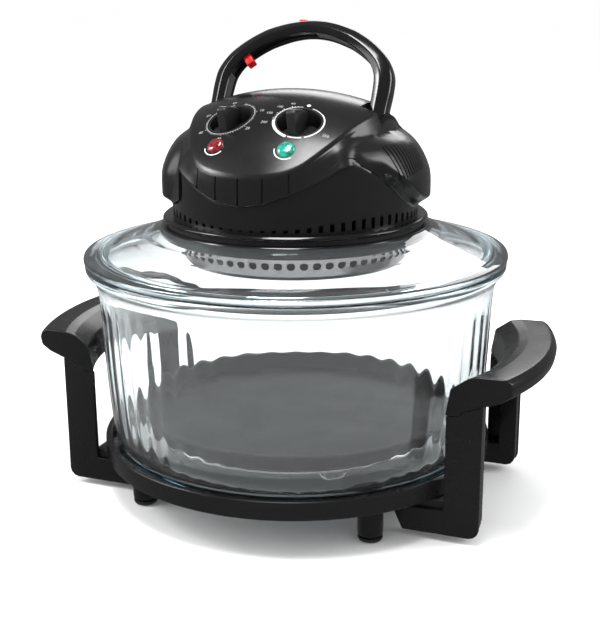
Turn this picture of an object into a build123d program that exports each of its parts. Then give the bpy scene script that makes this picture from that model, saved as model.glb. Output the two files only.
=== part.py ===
from build123d import *
import math
import os

# Tabletop halogen oven, assembled and closed, millimetres.
# +Z is up, the control panel faces -Y, the two side grips lie on +X and -X.
# The origin is on the table, on the axis of the glass bowl.

# ---------------------------------------------------------------- sizes
# stand
ring_outer_r = 157.3
ring_inner_r = 152.0
ring_bottom = 31.0
ring_top = 45.9
ledge_inner_r = 136.0
ledge_top = 35.0
foot_circle_r = 132.5
foot_r = 9.75
pad_h = 3.0
post_in_x = 144.3
post_out_x = 171.2
post_front_y = 80.0
post_step_x = 159.0
post_thin = 4.0
post_thick = 7.0
leg_bottom = 4.7
arm_end_x = 110.0
arm_top = 24.0
arm_depth = 25.0
grip_outer_r = 207.9
grip_inner_r = 167.0
grip_top = 130.0
grip_half_y = 80.0

# bowl
bowl_wall = 4.6
bowl_base_z = 35.3
bowl_rim_r = 166.6
bowl_rim_z = 189.8

# lid
lid_lip_r = 167.5
lid_seat_z = 190.1
lid_hole_r = 104.5
lid_glass = 4.0

# head: everything on the lid turns with it about the vertical axis
lid_turn = -3.7
flange_r = 104.5
lower_flange_z = 208.5
lower_flange_top = 216.9
glass_top_z = 217.0
glass_under_z = 212.6
lip_r = 107.5
upper_flange_z = 221.6
skirt_z = 224.6
skirt_r = 96.5
head_half_x = 107.0
head_half_y = 97.0
wall = 2.6
slot_count = 72

# control panel cover
cover_top = 320.0
crown_axis_z = 112.0
front_fall = 0.0057
cover_r = 99.0
cover_half_x = 79.0
dial_x = 28.0
dial_y = -54.2
dial_r = 17.3
dial_tilt = 14.0
dial_depth = 9.8
bar_width = 7.4
lamp_x = 28.4
lamp_y = -77.1
lamp_r = 6.9

# carrying handle
handle_lean = 27.83
pivot_y = -5.8
pivot_z = 286.0
leg_in_x = 62.0
leg_out_x = 74.4
handle_half_depth = 8.0
pin_r = 2.5
notch_in_x = 60.5
notch_front_y = -14.4
pocket_out_x = 76.0
pocket_floor = 276.5

# hot end
guard_top_r = 91.0
guard_bottom_r = 84.0
guard_bottom_z = 186.0
guard_wall = 0.9
guard_holes = 60
guard_hole_r = 3.1
heater_r = 62.0
tube_r = 5.0
heater_z = 195.5
shaft_r = 3.0

os.makedirs("parts", exist_ok=True)


def save(builder, label):
    builder.part.label = label
    export_step(builder.part, "parts/" + label + ".step")


turn = math.radians(lid_turn)
HEAD = Plane(origin=(0, 0, 0), x_dir=(math.cos(turn), math.sin(turn), 0), z_dir=(0, 0, 1))
SIDE = Plane(origin=(0, 0, 0), x_dir=HEAD.y_dir, z_dir=HEAD.x_dir)
FACE = Plane(origin=(0, 0, 0), x_dir=HEAD.x_dir, z_dir=-HEAD.y_dir)


def head_point(x, y, z):
    return HEAD.from_local_coords(Vector(x, y, z))


def head_vector(x, y, z):
    return HEAD.x_dir * x + HEAD.y_dir * y + Vector(0, 0, z)


def cover_height(x, y):
    spine = cover_top - front_fall * y * y
    return crown_axis_z + math.sqrt((spine - crown_axis_z) ** 2 - x * x)


def panel_plane(x, y, drop=0.0):
    # plane tangent to the crowned top of the cover at (x, y)
    e = 0.05
    dzdx = (cover_height(x + e, y) - cover_height(x - e, y)) / (2 * e)
    dzdy = (cover_height(x, y + e) - cover_height(x, y - e)) / (2 * e)
    normal = head_vector(-dzdx, -dzdy, 1.0).normalized()
    across = head_vector(1.0, 0.0, dzdx).normalized()
    origin = head_point(x, y, cover_height(x, y)) - normal * drop
    return Plane(origin=origin, x_dir=across, z_dir=normal)


def dial_plane(x, y):
    # plane through the cover's surface at (x, y), tipped towards the front, that a dial turns in
    t = math.radians(dial_tilt)
    return Plane(origin=head_point(x, y, cover_height(x, y)), x_dir=head_vector(1.0, 0.0, 0.0),
                 z_dir=head_vector(0.0, -math.sin(t), math.cos(t)))


# ================================================================ stand
with BuildPart() as stand_ring:
    with BuildSketch(Plane.XZ):
        with BuildLine():
            Polyline(
                (ring_inner_r, ring_top), (ring_outer_r - 1.0, ring_top), (ring_outer_r, ring_top - 1.0),
                (ring_outer_r, ring_bottom), (ledge_inner_r, ring_bottom), (ledge_inner_r, ledge_top),
                (ring_inner_r, ledge_top), close=True,
            )
        make_face()
    revolve(axis=Axis.Z)
save(stand_ring, "stand_ring")

# crescent grips: flat topped, with a chamfer towards the bowl and a hollow underneath for the fingers
grips = {}
for side_x, side_name in ((-1, "left"), (1, "right")):
    with BuildPart() as grip:
        with BuildSketch(Plane.XZ):
            with BuildLine():
                Polyline((grip_inner_r, 100.0), (grip_inner_r + 1.5, 119.0), (178.5, 128.0), (186.0, grip_top - 0.3),
                         (203.0, grip_top), (206.5, 127.5), (grip_outer_r, 123.5), (206.8, 117.0), (200.0, 112.0),
                         (189.0, 108.0), (177.0, 103.5), (172.5, 100.0), close=True)
            make_face()
        revolve(axis=Axis.Z)
        with BuildSketch(Plane.XY.offset(95.0)):
            with Locations((side_x * 155.0, 0)):
                Rectangle(120.0, 2 * grip_half_y)
        extrude(amount=40.0, mode=Mode.INTERSECT)
    grips[side_name] = grip
    save(grip, "grip_" + side_name)

# a post outside the bowl, thicker along its outer edge, with an arm turned in under the ring
for side_x, side_name in ((-1, "left"), (1, "right")):
    for side_y, end_name in ((-1, "front"), (1, "rear")):
        y_face = side_y * post_front_y
        with BuildPart() as leg:
            with BuildSketch(Plane.XZ.offset(-y_face)):
                Polygon((side_x * post_in_x, 111.0), (side_x * post_in_x, arm_top), (side_x * post_out_x, arm_top),
                        (side_x * post_out_x, 111.0), align=None)
            extrude(amount=side_y * post_thin)
            with BuildSketch(Plane.XZ.offset(-y_face)):
                Polygon((side_x * post_step_x, 111.0), (side_x * post_step_x, arm_top), (side_x * post_out_x, arm_top),
                        (side_x * post_out_x, 111.0), align=None)
            extrude(amount=side_y * post_thick)
            with BuildSketch(Plane.XZ.offset(-y_face)):
                with BuildLine():
                    Polyline(
                        (side_x * (arm_end_x - 5), arm_top), (side_x * (arm_end_x + 4), leg_bottom),
                        (side_x * (post_out_x - 7), leg_bottom), (side_x * (post_out_x - 2), leg_bottom + 2),
                        (side_x * post_out_x, leg_bottom + 7), (side_x * post_out_x, arm_top), close=True,
                    )
                make_face()
            extrude(amount=side_y * arm_depth)
            # bracket that reaches up to the underside of the ring
            with BuildSketch(Plane.XY.offset(arm_top)):
                with Locations((side_x * 131.0, side_y * (post_front_y - 12.0))):
                    Rectangle(34.0, 18.0)
            extrude(amount=ring_bottom - arm_top)
            add(grips[side_name].part, mode=Mode.SUBTRACT)
            with BuildSketch(Plane.XY.offset(102.0)):
                Circle(grip_inner_r + 2.0)
            extrude(amount=20.0, mode=Mode.SUBTRACT)
        save(leg, "leg_" + end_name + "_" + side_name)

with BuildPart() as feet:
    with BuildSketch(Plane.XY.offset(pad_h)):
        with PolarLocations(foot_circle_r, 4, 45):
            Circle(foot_r)
    extrude(amount=ring_bottom - pad_h)
    with BuildSketch(Plane.XY.offset(ring_bottom)):
        with PolarLocations(foot_circle_r, 4, 45):
            Circle(foot_r)
        Circle(ledge_inner_r, mode=Mode.SUBTRACT)
    extrude(amount=-1.0)
save(feet, "feet")

with BuildPart() as foot_pads:
    with BuildSketch(Plane.XY):
        with PolarLocations(foot_circle_r, 4, 45):
            Circle(foot_r - 0.4)
    extrude(amount=pad_h)
    chamfer(foot_pads.edges().group_by(Axis.Z)[0], 0.8)
save(foot_pads, "foot_pads")

with BuildPart() as stand_screws:
    with BuildSketch(Plane.XY.offset(leg_bottom - 1.8)):
        with Locations(*[(sx * 133.0, sy * 68.0) for sx in (-1, 1) for sy in (-1, 1)]):
            Circle(3.2)
    extrude(amount=1.8)
save(stand_screws, "stand_screws")

# ================================================================ bowl
bowl_outside = [
    (150.4, 60.0), (152.2, 78.0), (153.9, 100.0), (155.2, 125.0), (156.2, 150.0), (157.2, 166.0), (159.6, 174.0),
    (163.4, 181.0), (bowl_rim_r, 185.2),
]
with BuildPart() as glass_bowl:
    with BuildSketch(Plane.XZ):
        with BuildLine():
            outside = Polyline((0, bowl_base_z), (138.0, bowl_base_z), (145.0, 38.5), (148.6, 46.0), *bowl_outside,
                               (bowl_rim_r, bowl_rim_z), (bowl_rim_r - 6.4, bowl_rim_z), (157.6, 184.5),
                               (153.4, 174.0), (152.2, 166.0), (151.4, 150.0), (150.4, 125.0), (149.0, 100.0),
                               (147.2, 78.0), (145.4, 60.0), (142.0, 48.0), (134.0, 41.8), (0, 41.8), close=True)
        make_face()
    revolve(axis=Axis.Z)
save(glass_bowl, "glass_bowl")

# wire rack on the floor of the bowl and the baking pan on it
rack_z = 51.0
wire_r = 1.6
with BuildPart() as wire_rack:
    with BuildSketch(Plane.XZ):
        with Locations((116.0, rack_z)):
            RegularPolygon(wire_r + 0.5, 8, rotation=22.5)
    revolve(axis=Axis.Z)
    for k in range(-4, 5):
        off = k * 22.0
        half = math.sqrt(116.0 ** 2 - off ** 2) - 0.4
        with BuildSketch(Plane.YZ.offset(-half)):
            with Locations((off, rack_z)):
                Circle(wire_r)
        extrude(amount=2 * half)
    # legs: wire pegs down to the floor of the bowl
    with BuildSketch(Plane.XY.offset(42.2)):
        with PolarLocations(116.0, 4, 30):
            Circle(wire_r + 0.2)
        with PolarLocations(116.0, 4, 38):
            Circle(wire_r + 0.2)
    extrude(amount=rack_z - 42.2)
    for k in range(4):
        a = math.radians(34 + 90 * k)
        foot = Plane(origin=(116.0 * math.cos(a), 116.0 * math.sin(a), 43.8), x_dir=(math.cos(a), math.sin(a), 0),
                     z_dir=(-math.sin(a), math.cos(a), 0))
        with BuildSketch(foot.offset(-8.0)):
            Circle(wire_r)
        extrude(amount=16.0)
save(wire_rack, "wire_rack")

with BuildPart() as baking_pan:
    with BuildSketch(Plane.XZ):
        with BuildLine():
            Polyline((0, 53.4), (119.0, 53.4), (123.0, 56.0), (125.5, 67.0), (130.0, 67.0), (130.0, 68.6),
                     (124.0, 68.6), (121.6, 57.2), (118.4, 55.0), (0, 55.0), close=True)
        make_face()
    revolve(axis=Axis.Z)
save(baking_pan, "baking_pan")

# ================================================================ lid
with BuildPart() as glass_lid:
    with BuildSketch(Plane.XZ):
        with BuildLine():
            Polyline(
                (lid_hole_r, glass_top_z), (115.0, 211.6), (137.0, 203.4), (152.0, 198.2),
                (160.0, 196.6), (166.0, 195.8), (lid_lip_r, 194.2), (lid_lip_r, 191.6), (166.0, lid_seat_z),
                (157.6, lid_seat_z), (155.4, 187.4), (151.6, 187.4), (151.0, 193.0), (149.0, 195.0), (136.0, 199.4),
                (114.0, 207.4), (lid_hole_r, glass_under_z), close=True,
            )
        make_face()
    revolve(axis=Axis.Z)
save(glass_lid, "glass_lid")

with BuildPart() as lower_flange:
    with BuildSketch(Plane.XZ):
        with BuildLine():
            Polyline((88.0, 204.5), (97.0, 204.5), (100.0, 205.0), (lip_r - 1.0, 206.2), (lip_r, 207.4), (lip_r, 210.95),
                     (lid_hole_r, glass_under_z), (lid_hole_r, lower_flange_top - 0.8), (lid_hole_r - 0.8, lower_flange_top),
                     (88.0, lower_flange_top), close=True)
        make_face()
    revolve(axis=Axis.Z)
save(lower_flange, "lower_flange")

with BuildPart() as lid_gasket:
    with BuildSketch(Plane.XZ):
        with BuildLine():
            Polyline((90.0, lower_flange_top), (101.0, lower_flange_top), (101.0, upper_flange_z - 1.0), (90.0, upper_flange_z - 1.0),
                     close=True)
        make_face()
    revolve(axis=Axis.Z)
save(lid_gasket, "lid_gasket")

with BuildPart() as head_base:
    with BuildSketch(Plane.XZ):
        with BuildLine():
            Polyline((12.0, upper_flange_z - 1.0), (101.5, upper_flange_z - 1.0), (flange_r, upper_flange_z), (flange_r, 223.0),
                     (102.8, skirt_z), (12.0, skirt_z), close=True)
        make_face()
    revolve(axis=Axis.Z)
    with BuildSketch(Plane.XY.offset(upper_flange_z - 2)):
        with PolarLocations(52.0, 8):
            Circle(7.0)
    extrude(amount=8.0, mode=Mode.SUBTRACT)
save(head_base, "head_base")

# perforated steel ring that guards the heater and the fan
with BuildPart() as guard_ring:
    with BuildSketch(Plane.XZ):
        with BuildLine():
            Polyline((guard_top_r + 1, 204.5), (guard_top_r, 203.0), (90.2, 196.0), (88.6, 189.5), (86.4, 186.6), (guard_bottom_r, guard_bottom_z),
                     (guard_bottom_r, guard_bottom_z + guard_wall), (86.0, 187.5), (87.7, 190.0), (89.2, 196.0), (guard_top_r - 1, 203.0),
                     (guard_top_r - 0.6, 204.5), close=True)
        make_face()
    revolve(axis=Axis.Z)
    for k in range(guard_holes):
        a = math.radians(lid_turn - 85.5 + k * 360.0 / guard_holes)
        out = Plane(origin=(84.0 * math.cos(a), 84.0 * math.sin(a), 197.4), z_dir=(math.cos(a), math.sin(a), 0))
        with BuildSketch(out):
            Circle(guard_hole_r)
        extrude(amount=12.0, mode=Mode.SUBTRACT)
save(guard_ring, "guard_ring")

with BuildPart() as guard_grille:
    with BuildSketch(Plane.XY.offset(guard_bottom_z + guard_wall)):
        for r in (18.0, 30.0, 42.0, 54.0, 66.0, 78.0):
            Circle(r + 1.1)
            Circle(r - 1.1, mode=Mode.SUBTRACT)
        Circle(7.0)
        with PolarLocations(43.5, 6, 15):
            Rectangle(79.0, 2.2)
        Circle(82.8)
        Circle(80.4, mode=Mode.SUBTRACT)
        with PolarLocations(43.5, 6, 15):
            Rectangle(79.0, 2.2)
        for r in (18.0, 30.0, 42.0, 54.0, 66.0, 78.0):
            Circle(r + 1.1)
            Circle(r - 1.1, mode=Mode.SUBTRACT)
        with PolarLocations(43.5, 6, 15):
            Rectangle(79.0, 2.2)
    extrude(amount=1.4)
save(guard_grille, "guard_grille")

with BuildPart() as reflector:
    with BuildSketch(Plane.XZ):
        with BuildLine():
            Polyline((4.5, 209.0), (30.0, 209.0), (70.0, 207.4), (84.0, 205.0), (88.0, 205.0), (88.0, 206.0), (84.4, 206.0),
                     (70.4, 208.4), (30.0, 210.0), (4.5, 210.0), close=True)
        make_face()
    revolve(axis=Axis.Z)
save(reflector, "reflector")

with BuildPart() as heat_shield:
    with BuildSketch(Plane.XY.offset(lower_flange_top)):
        Circle(89.9)
        Circle(12.0, mode=Mode.SUBTRACT)
    extrude(amount=1.2)
save(heat_shield, "heat_shield")

# ring shaped quartz tube with a ceramic cap at each end, hung from the reflector
tube_gap = 24.0
with BuildPart() as heater_tube:
    start = Plane.XZ.rotated((0, 0, 90 + tube_gap / 2))
    with BuildSketch(start):
        with Locations((heater_r, heater_z)):
            Circle(tube_r)
    revolve(axis=Axis.Z, revolution_arc=360 - tube_gap)
save(heater_tube, "heater_tube")

with BuildPart() as heater_caps:
    for sign in (-1, 1):
        a = math.radians(90 + sign * (tube_gap / 2 - 5.6))
        cap = Plane(origin=(heater_r * math.cos(a), heater_r * math.sin(a), heater_z - 6.5),
                    x_dir=(math.cos(a), math.sin(a), 0), z_dir=(0, 0, 1))
        with BuildSketch(cap):
            Rectangle(13.0, 9.0)
        extrude(amount=19.0)
    add(heater_tube.part, mode=Mode.SUBTRACT)
    add(reflector.part, mode=Mode.SUBTRACT)
save(heater_caps, "heater_caps")

with BuildPart() as heater_clips:
    with BuildSketch(Plane.XY.offset(heater_z - 6.5)):
        with PolarLocations(heater_r, 3, 190):
            Rectangle(14.0, 3.0)
    extrude(amount=20.0)
    add(heater_tube.part, mode=Mode.SUBTRACT)
    with BuildSketch(Plane.XZ):
        with BuildLine():
            Polyline((40.0, 208.6), (70.0, 207.4), (74.0, 206.6), (74.0, 220.0), (40.0, 220.0), close=True)
        make_face()
    revolve(axis=Axis.Z, mode=Mode.SUBTRACT)
save(heater_clips, "heater_clips")

# one shaft carries the fan under the reflector and the fan that cools the head
with BuildPart() as fan_shaft:
    with BuildSketch(Plane.XY.offset(196.5)):
        Circle(shaft_r)
    extrude(amount=63.5)
save(fan_shaft, "fan_shaft")

with BuildPart() as circulation_fan:
    with BuildSketch(Plane.XY.offset(205.6)):
        Circle(40.0)
        Circle(shaft_r, mode=Mode.SUBTRACT)
    extrude(amount=1.0)
    with BuildSketch(Plane.XY.offset(198.0)):
        Circle(8.0)
        Circle(shaft_r, mode=Mode.SUBTRACT)
    extrude(amount=7.6)
    with BuildSketch(Plane.XY.offset(198.0)):
        with PolarLocations(27.0, 8):
            Rectangle(26.0, 1.4, rotation=24)
    extrude(amount=7.6)
save(circulation_fan, "circulation_fan")

with BuildPart() as cooling_fan:
    with BuildSketch(Plane.XY.offset(227.4)):
        Circle(31.0)
        Circle(shaft_r, mode=Mode.SUBTRACT)
    extrude(amount=1.2)
    with BuildSketch(Plane.XY.offset(228.6)):
        Circle(8.0)
        Circle(shaft_r, mode=Mode.SUBTRACT)
        with PolarLocations(20.0, 9):
            Rectangle(21.0, 1.4, rotation=-30)
    extrude(amount=7.0)
save(cooling_fan, "cooling_fan")

with BuildPart() as fan_motor:
    with BuildSketch(Plane.XY.offset(239.0)):
        Rectangle(58.0, 46.0)
        Circle(shaft_r + 0.05, mode=Mode.SUBTRACT)
    extrude(amount=22.0)
save(fan_motor, "fan_motor")

with BuildPart() as motor_bracket:
    with BuildSketch(Plane.XY.offset(skirt_z)):
        with Locations((-39.0, 0), (39.0, 0)):
            Circle(4.0)
    extrude(amount=36.4)
    with BuildSketch(Plane.XY.offset(261.0)):
        Rectangle(88.0, 14.0)
        Circle(5.0, mode=Mode.SUBTRACT)
    extrude(amount=2.0)
save(motor_bracket, "motor_bracket")

with BuildPart() as terminal_block:
    with BuildSketch(HEAD.offset(skirt_z)):
        with Locations((0, 60.0)):
            Rectangle(26.0, 12.0)
    extrude(amount=10.0)
save(terminal_block, "terminal_block")

with BuildPart() as thermal_cutout:
    with BuildSketch(HEAD.offset(skirt_z)):
        with Locations((-46.0, 40.0)):
            Circle(7.0)
    extrude(amount=7.0)
save(thermal_cutout, "thermal_cutout")

with BuildPart() as flange_screws:
    with BuildSketch(Plane.XY.offset(203.0)):
        with PolarLocations(94.8, 6, 30):
            Circle(1.9)
    extrude(amount=1.5)
save(flange_screws, "flange_screws")

# ================================================================ head casing
def crown_profile(lower):
    return [(y, cover_top - lower - front_fall * y * y) for y in (-106, -90, -75, -60, -45, -30, -15, 0, 15, 30, 45, 60, 75, 90, 106)]


under_line = [(-112, 231.0), (-99, 243.5), (-87, 254.8), (-75, 266.0), (-64, 275.0), (-54, 280.5), (-42, 283.5), (-20, 284.5),
              (20, 284.5), (42, 283.5), (54, 280.5), (64, 276.5), (75, 271.0), (87, 266.0), (99, 262.0), (112, 260.0)]

with BuildPart() as cover_block:
    with BuildSketch(SIDE):
        with BuildLine():
            crown = Spline(*crown_profile(0.0))
            Polyline(crown @ 1, (106, crown_axis_z), (-106, crown_axis_z), crown @ 0)
        make_face()
    revolve(axis=Axis(origin=(0, 0, crown_axis_z), direction=HEAD.y_dir))
    with BuildSketch(HEAD.offset(200.0)):
        Circle(cover_r)
        Rectangle(2 * cover_half_x, 230.0, mode=Mode.INTERSECT)
        for sx in (-1, 1):
            with Locations((sx * (notch_in_x + 30.0), notch_front_y + 60.0)):
                Rectangle(60.0, 120.0, mode=Mode.SUBTRACT)
    extrude(amount=140.0, mode=Mode.INTERSECT)
    with BuildSketch(SIDE.offset(-120.0)):
        with BuildLine():
            Polyline(*under_line, (112, 150), (-112, 150), close=True)
        make_face()
    extrude(amount=240.0, mode=Mode.SUBTRACT)

with BuildPart() as cover_zone:
    with BuildSketch(HEAD.offset(200.0)):
        Circle(cover_r)
        Rectangle(2 * cover_half_x, 230.0, mode=Mode.INTERSECT)
        for sx in (-1, 1):
            with Locations((sx * (notch_in_x + 30.0), notch_front_y + 60.0)):
                Rectangle(60.0, 120.0, mode=Mode.SUBTRACT)
    extrude(amount=140.0)
    with BuildSketch(SIDE.offset(-120.0)):
        with BuildLine():
            Polyline(*under_line, (112, 150), (-112, 150), close=True)
        make_face()
    extrude(amount=240.0, mode=Mode.SUBTRACT)

with BuildPart() as cover_space:
    with BuildSketch(SIDE):
        with BuildLine():
            crown = Spline(*crown_profile(wall))
            Polyline(crown @ 1, (106, crown_axis_z), (-106, crown_axis_z), crown @ 0)
        make_face()
    revolve(axis=Axis(origin=(0, 0, crown_axis_z), direction=HEAD.y_dir))
    with BuildSketch(HEAD.offset(200.0)):
        Circle(cover_r - wall)
        Rectangle(2 * (cover_half_x - wall), 230.0, mode=Mode.INTERSECT)
        for sx in (-1, 1):
            with Locations((sx * (notch_in_x - wall + 30.0), notch_front_y - wall + 60.0)):
                Rectangle(60.0, 120.0, mode=Mode.SUBTRACT)
    extrude(amount=140.0, mode=Mode.INTERSECT)

dials = {"timer": dial_plane(-dial_x, dial_y), "temperature": dial_plane(dial_x, dial_y)}
lamps = {"power": panel_plane(-lamp_x, lamp_y), "heat": panel_plane(lamp_x, lamp_y)}

with BuildPart() as cover:
    add(cover_block.part)
    add(cover_space.part, mode=Mode.SUBTRACT)
    for plane in dials.values():
        with BuildSketch(plane.offset(-20.0)):
            Circle(dial_r)
        extrude(amount=32.0, mode=Mode.SUBTRACT)
    for plane in lamps.values():
        with BuildSketch(plane.offset(-10.0)):
            Circle(lamp_r)
        extrude(amount=14.0, mode=Mode.SUBTRACT)
    with BuildSketch(SIDE.offset(-80.0)):
        with Locations((pivot_y, pivot_z)):
            Circle(pin_r)
    extrude(amount=160.0, mode=Mode.SUBTRACT)
save(cover, "panel_cover")

outer_rings = [(skirt_z, skirt_r, skirt_r - 0.05), (231.0, skirt_r, skirt_r - 0.05), (238.0, head_half_x, head_half_y),
               (252.0, head_half_x, head_half_y), (262.0, 105.4, 95.6), (272.0, 101.0, 91.6), (281.0, 94.6, 85.8),
               (287.0, 87.6, 79.4), (290.0, 80.4, 72.8)]

with BuildPart() as head_space:
    for z, a, b in outer_rings:
        with BuildSketch(HEAD.offset(z - (wall if z > 260 else (1.0 if z < 225 else 0.0)))):
            Ellipse(a - wall, b - wall)
    loft(ruled=True)
    # walls and floor of the two recesses for the handle
    with BuildSketch(HEAD.offset(pocket_floor - wall)):
        for sx in (-1, 1):
            with Locations((sx * (notch_in_x + pocket_out_x) / 2, notch_front_y - wall + 60.0)):
                Rectangle(pocket_out_x - notch_in_x + 2 * wall, 120.0)
    extrude(amount=40.0, mode=Mode.SUBTRACT)

with BuildPart() as housing:
    for z, a, b in outer_rings:
        with BuildSketch(HEAD.offset(z)):
            Ellipse(a, b)
    loft(ruled=True)
    add(head_space.part, mode=Mode.SUBTRACT)
    with BuildSketch(HEAD.offset(pocket_floor)):
        for sx in (-1, 1):
            with Locations((sx * (notch_in_x + pocket_out_x) / 2, notch_front_y + 60.0)):
                Rectangle(pocket_out_x - notch_in_x, 120.0)
    extrude(amount=40.0, mode=Mode.SUBTRACT)
    add(cover_zone.part, mode=Mode.SUBTRACT)
    # ring of upright air slots above the flange
    with BuildSketch(HEAD.offset(225.4)):
        with PolarLocations(skirt_r - 1.0, slot_count):
            Rectangle(9.0, 3.4)
    extrude(amount=4.8, mode=Mode.SUBTRACT)
    # bores for the pivot pins
    with BuildSketch(SIDE.offset(-80.0)):
        with Locations((pivot_y, pivot_z)):
            Circle(pin_r)
    extrude(amount=160.0, mode=Mode.SUBTRACT)
    # opening for the mains inlet at the back
    with BuildSketch(HEAD.offset(237.0)):
        with Locations((0, 90.0)):
            Rectangle(28.0, 30.0)
    extrude(amount=20.0, mode=Mode.SUBTRACT)
    # hole for the safety switch plunger
    with BuildSketch(HEAD.offset(270.0)):
        with Locations((-68.2, pivot_y)):
            Circle(2.05)
    extrude(amount=10.0, mode=Mode.SUBTRACT)
save(housing, "head_housing")

with BuildPart() as inlet_socket:
    with BuildSketch(HEAD.offset(237.0)):
        with Locations((0, 88.5)):
            Rectangle(28.0, 20.0)
    extrude(amount=20.0)
    with BuildSketch(FACE.offset(-98.5)):
        with Locations((0, 247.0)):
            RectangleRounded(24.6, 16.6, 2.0)
    extrude(amount=15.0, mode=Mode.SUBTRACT)
save(inlet_socket, "inlet_socket")

with BuildPart() as inlet_pins:
    with BuildSketch(FACE.offset(-83.5)):
        with Locations((-7.0, 245.0), (7.0, 245.0), (0, 249.0)):
            Rectangle(2.0, 4.0)
    extrude(amount=-8.0)
save(inlet_pins, "inlet_pins")

# ================================================================ dials and lamps
for name, plane in dials.items():
    with BuildPart() as cup:
        with BuildSketch(plane.offset(-dial_depth - 2.0)):
            Circle(dial_r)
        extrude(amount=20.0)
        add(cover_block.part, mode=Mode.INTERSECT)
        with BuildSketch(plane.offset(-dial_depth)):
            Circle(dial_r - 1.0)
        extrude(amount=20.0, mode=Mode.SUBTRACT)
        with BuildSketch(plane.offset(-dial_depth - 3.0)):
            Circle(shaft_r + 0.05)
        extrude(amount=6.0, mode=Mode.SUBTRACT)
    save(cup, name + "_dish")

    with BuildPart() as knob:
        with BuildSketch(plane.offset(-dial_depth + 0.5)):
            Circle(dial_r - 1.6)
        extrude(amount=1.5)
        # bar, tall at the near rim and running out towards the far one
        across = Plane(origin=plane.origin, x_dir=plane.y_dir, z_dir=plane.x_dir)
        with BuildSketch(across.offset(-bar_width / 2)):
            Polygon((-13.0, -dial_depth + 1.0), (-13.0, 10.4), (-11.4, 12.0), (-8.0, 12.2), (2.0, 8.6), (10.0, 4.8), (14.6, 2.0),
                    (14.6, -dial_depth + 1.0), align=None)
        extrude(amount=bar_width)
    save(knob, name + "_knob")

    with BuildPart() as knob_shaft:
        with BuildSketch(plane.offset(-dial_depth - 15.0)):
            Circle(shaft_r)
        extrude(amount=15.5)
    save(knob_shaft, name + "_shaft")

    size, deep = (30.0, 18.0) if name == "timer" else (28.0, 16.0)
    with BuildPart() as unit:
        with BuildSketch(plane.offset(-dial_depth - 2.0)):
            with Locations((0, 4.0)):
                Rectangle(size, size)
        extrude(amount=-deep)
        with BuildSketch(plane.offset(-dial_depth - 2.0)):
            Circle(shaft_r + 0.05)
        extrude(amount=-14.0, mode=Mode.SUBTRACT)
    save(unit, name + "_unit")

for name, plane in lamps.items():
    with BuildPart() as lens:
        with BuildSketch(plane.offset(-6.0)):
            Circle(lamp_r)
        extrude(amount=8.6)
        fillet(lens.edges().sort_by(Axis(origin=plane.origin, direction=plane.z_dir))[-1], 2.4)
    save(lens, name + "_lens")

    with BuildPart() as lamp:
        with BuildSketch(plane.offset(-6.0)):
            Circle(lamp_r + 1.0)
        extrude(amount=-8.0)
    save(lamp, name + "_lamp")

# ================================================================ handle
lean = math.radians(handle_lean)
pivot = head_point(0, pivot_y, pivot_z)
ARCH = Plane(origin=pivot, x_dir=HEAD.x_dir, z_dir=head_vector(0, -math.cos(lean), math.sin(lean)))
outer_half = [(leg_out_x, 0.0), (leg_out_x, 22.0), (74.2, 38.0), (72.2, 51.0), (65.6, 62.2), (58.0, 69.8), (50.2, 75.9), (42.3, 80.8),
              (34.2, 84.8), (17.6, 90.0), (0.0, 91.9)]
inner_half = [(leg_in_x, 0.0), (leg_in_x, 22.0), (61.9, 36.0), (61.0, 47.0), (58.0, 55.5), (53.0, 61.5), (46.0, 67.2), (38.0, 72.3),
              (30.0, 76.3), (17.0, 81.0), (0.0, 83.2)]
with BuildPart() as handle:
    with BuildSketch(ARCH.offset(-handle_half_depth)):
        with BuildLine():
            outer_arc = Spline(*outer_half[1:], *[(-x, y) for x, y in reversed(outer_half[1:-1])], tangents=[(0, 1), (0, -1)])
            inner_arc = Spline(*inner_half[1:], *[(-x, y) for x, y in reversed(inner_half[1:-1])], tangents=[(0, 1), (0, -1)])
            Polyline(outer_arc @ 0, outer_half[0], inner_half[0], inner_arc @ 0)
            Polyline(outer_arc @ 1, (-leg_out_x, 0.0), (-leg_in_x, 0.0), inner_arc @ 1)
        make_face()
    extrude(amount=2 * handle_half_depth)
    for sx in (-1, 1):
        with BuildSketch(SIDE.offset(sx * leg_in_x)):
            with Locations((pivot_y, pivot_z)):
                Circle(handle_half_depth)
        extrude(amount=sx * (leg_out_x - leg_in_x))
    with BuildSketch(SIDE.offset(-90.0)):
        with Locations((pivot_y, pivot_z)):
            Circle(pin_r + 0.05)
    extrude(amount=180.0, mode=Mode.SUBTRACT)
    lever_dir = (ARCH.x_dir * 0.631 - ARCH.y_dir * 0.775).normalized()
    LEVER = Plane(origin=ARCH.from_local_coords(Vector(-50.0, 64.0, 0)), x_dir=ARCH.z_dir, z_dir=lever_dir)
    with BuildSketch(LEVER.offset(-7.4)):
        Rectangle(8.6, 8.6)
    extrude(amount=12.0, mode=Mode.SUBTRACT)
    BUTTON = Plane(origin=ARCH.from_local_coords(Vector(-8.5, 91.4, -1.0)), x_dir=ARCH.x_dir, z_dir=ARCH.y_dir)
    with BuildSketch(BUTTON.offset(-6.6)):
        Rectangle(9.6, 8.6)
    extrude(amount=12.0, mode=Mode.SUBTRACT)
save(handle, "carry_handle")

with BuildPart() as lock_lever:
    with BuildSketch(LEVER.offset(-3.8)):
        Rectangle(8.0, 8.0)
    extrude(amount=11.6)
save(lock_lever, "lock_lever")

with BuildPart() as lock_spring:
    with BuildSketch(LEVER.offset(-7.4)):
        Circle(2.4)
        Circle(1.8, mode=Mode.SUBTRACT)
    extrude(amount=1.8)
save(lock_spring, "lock_spring")

with BuildPart() as button_spring:
    with BuildSketch(BUTTON.offset(-6.6)):
        Circle(2.2)
        Circle(1.6, mode=Mode.SUBTRACT)
    extrude(amount=1.4)
save(button_spring, "button_spring")

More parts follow.
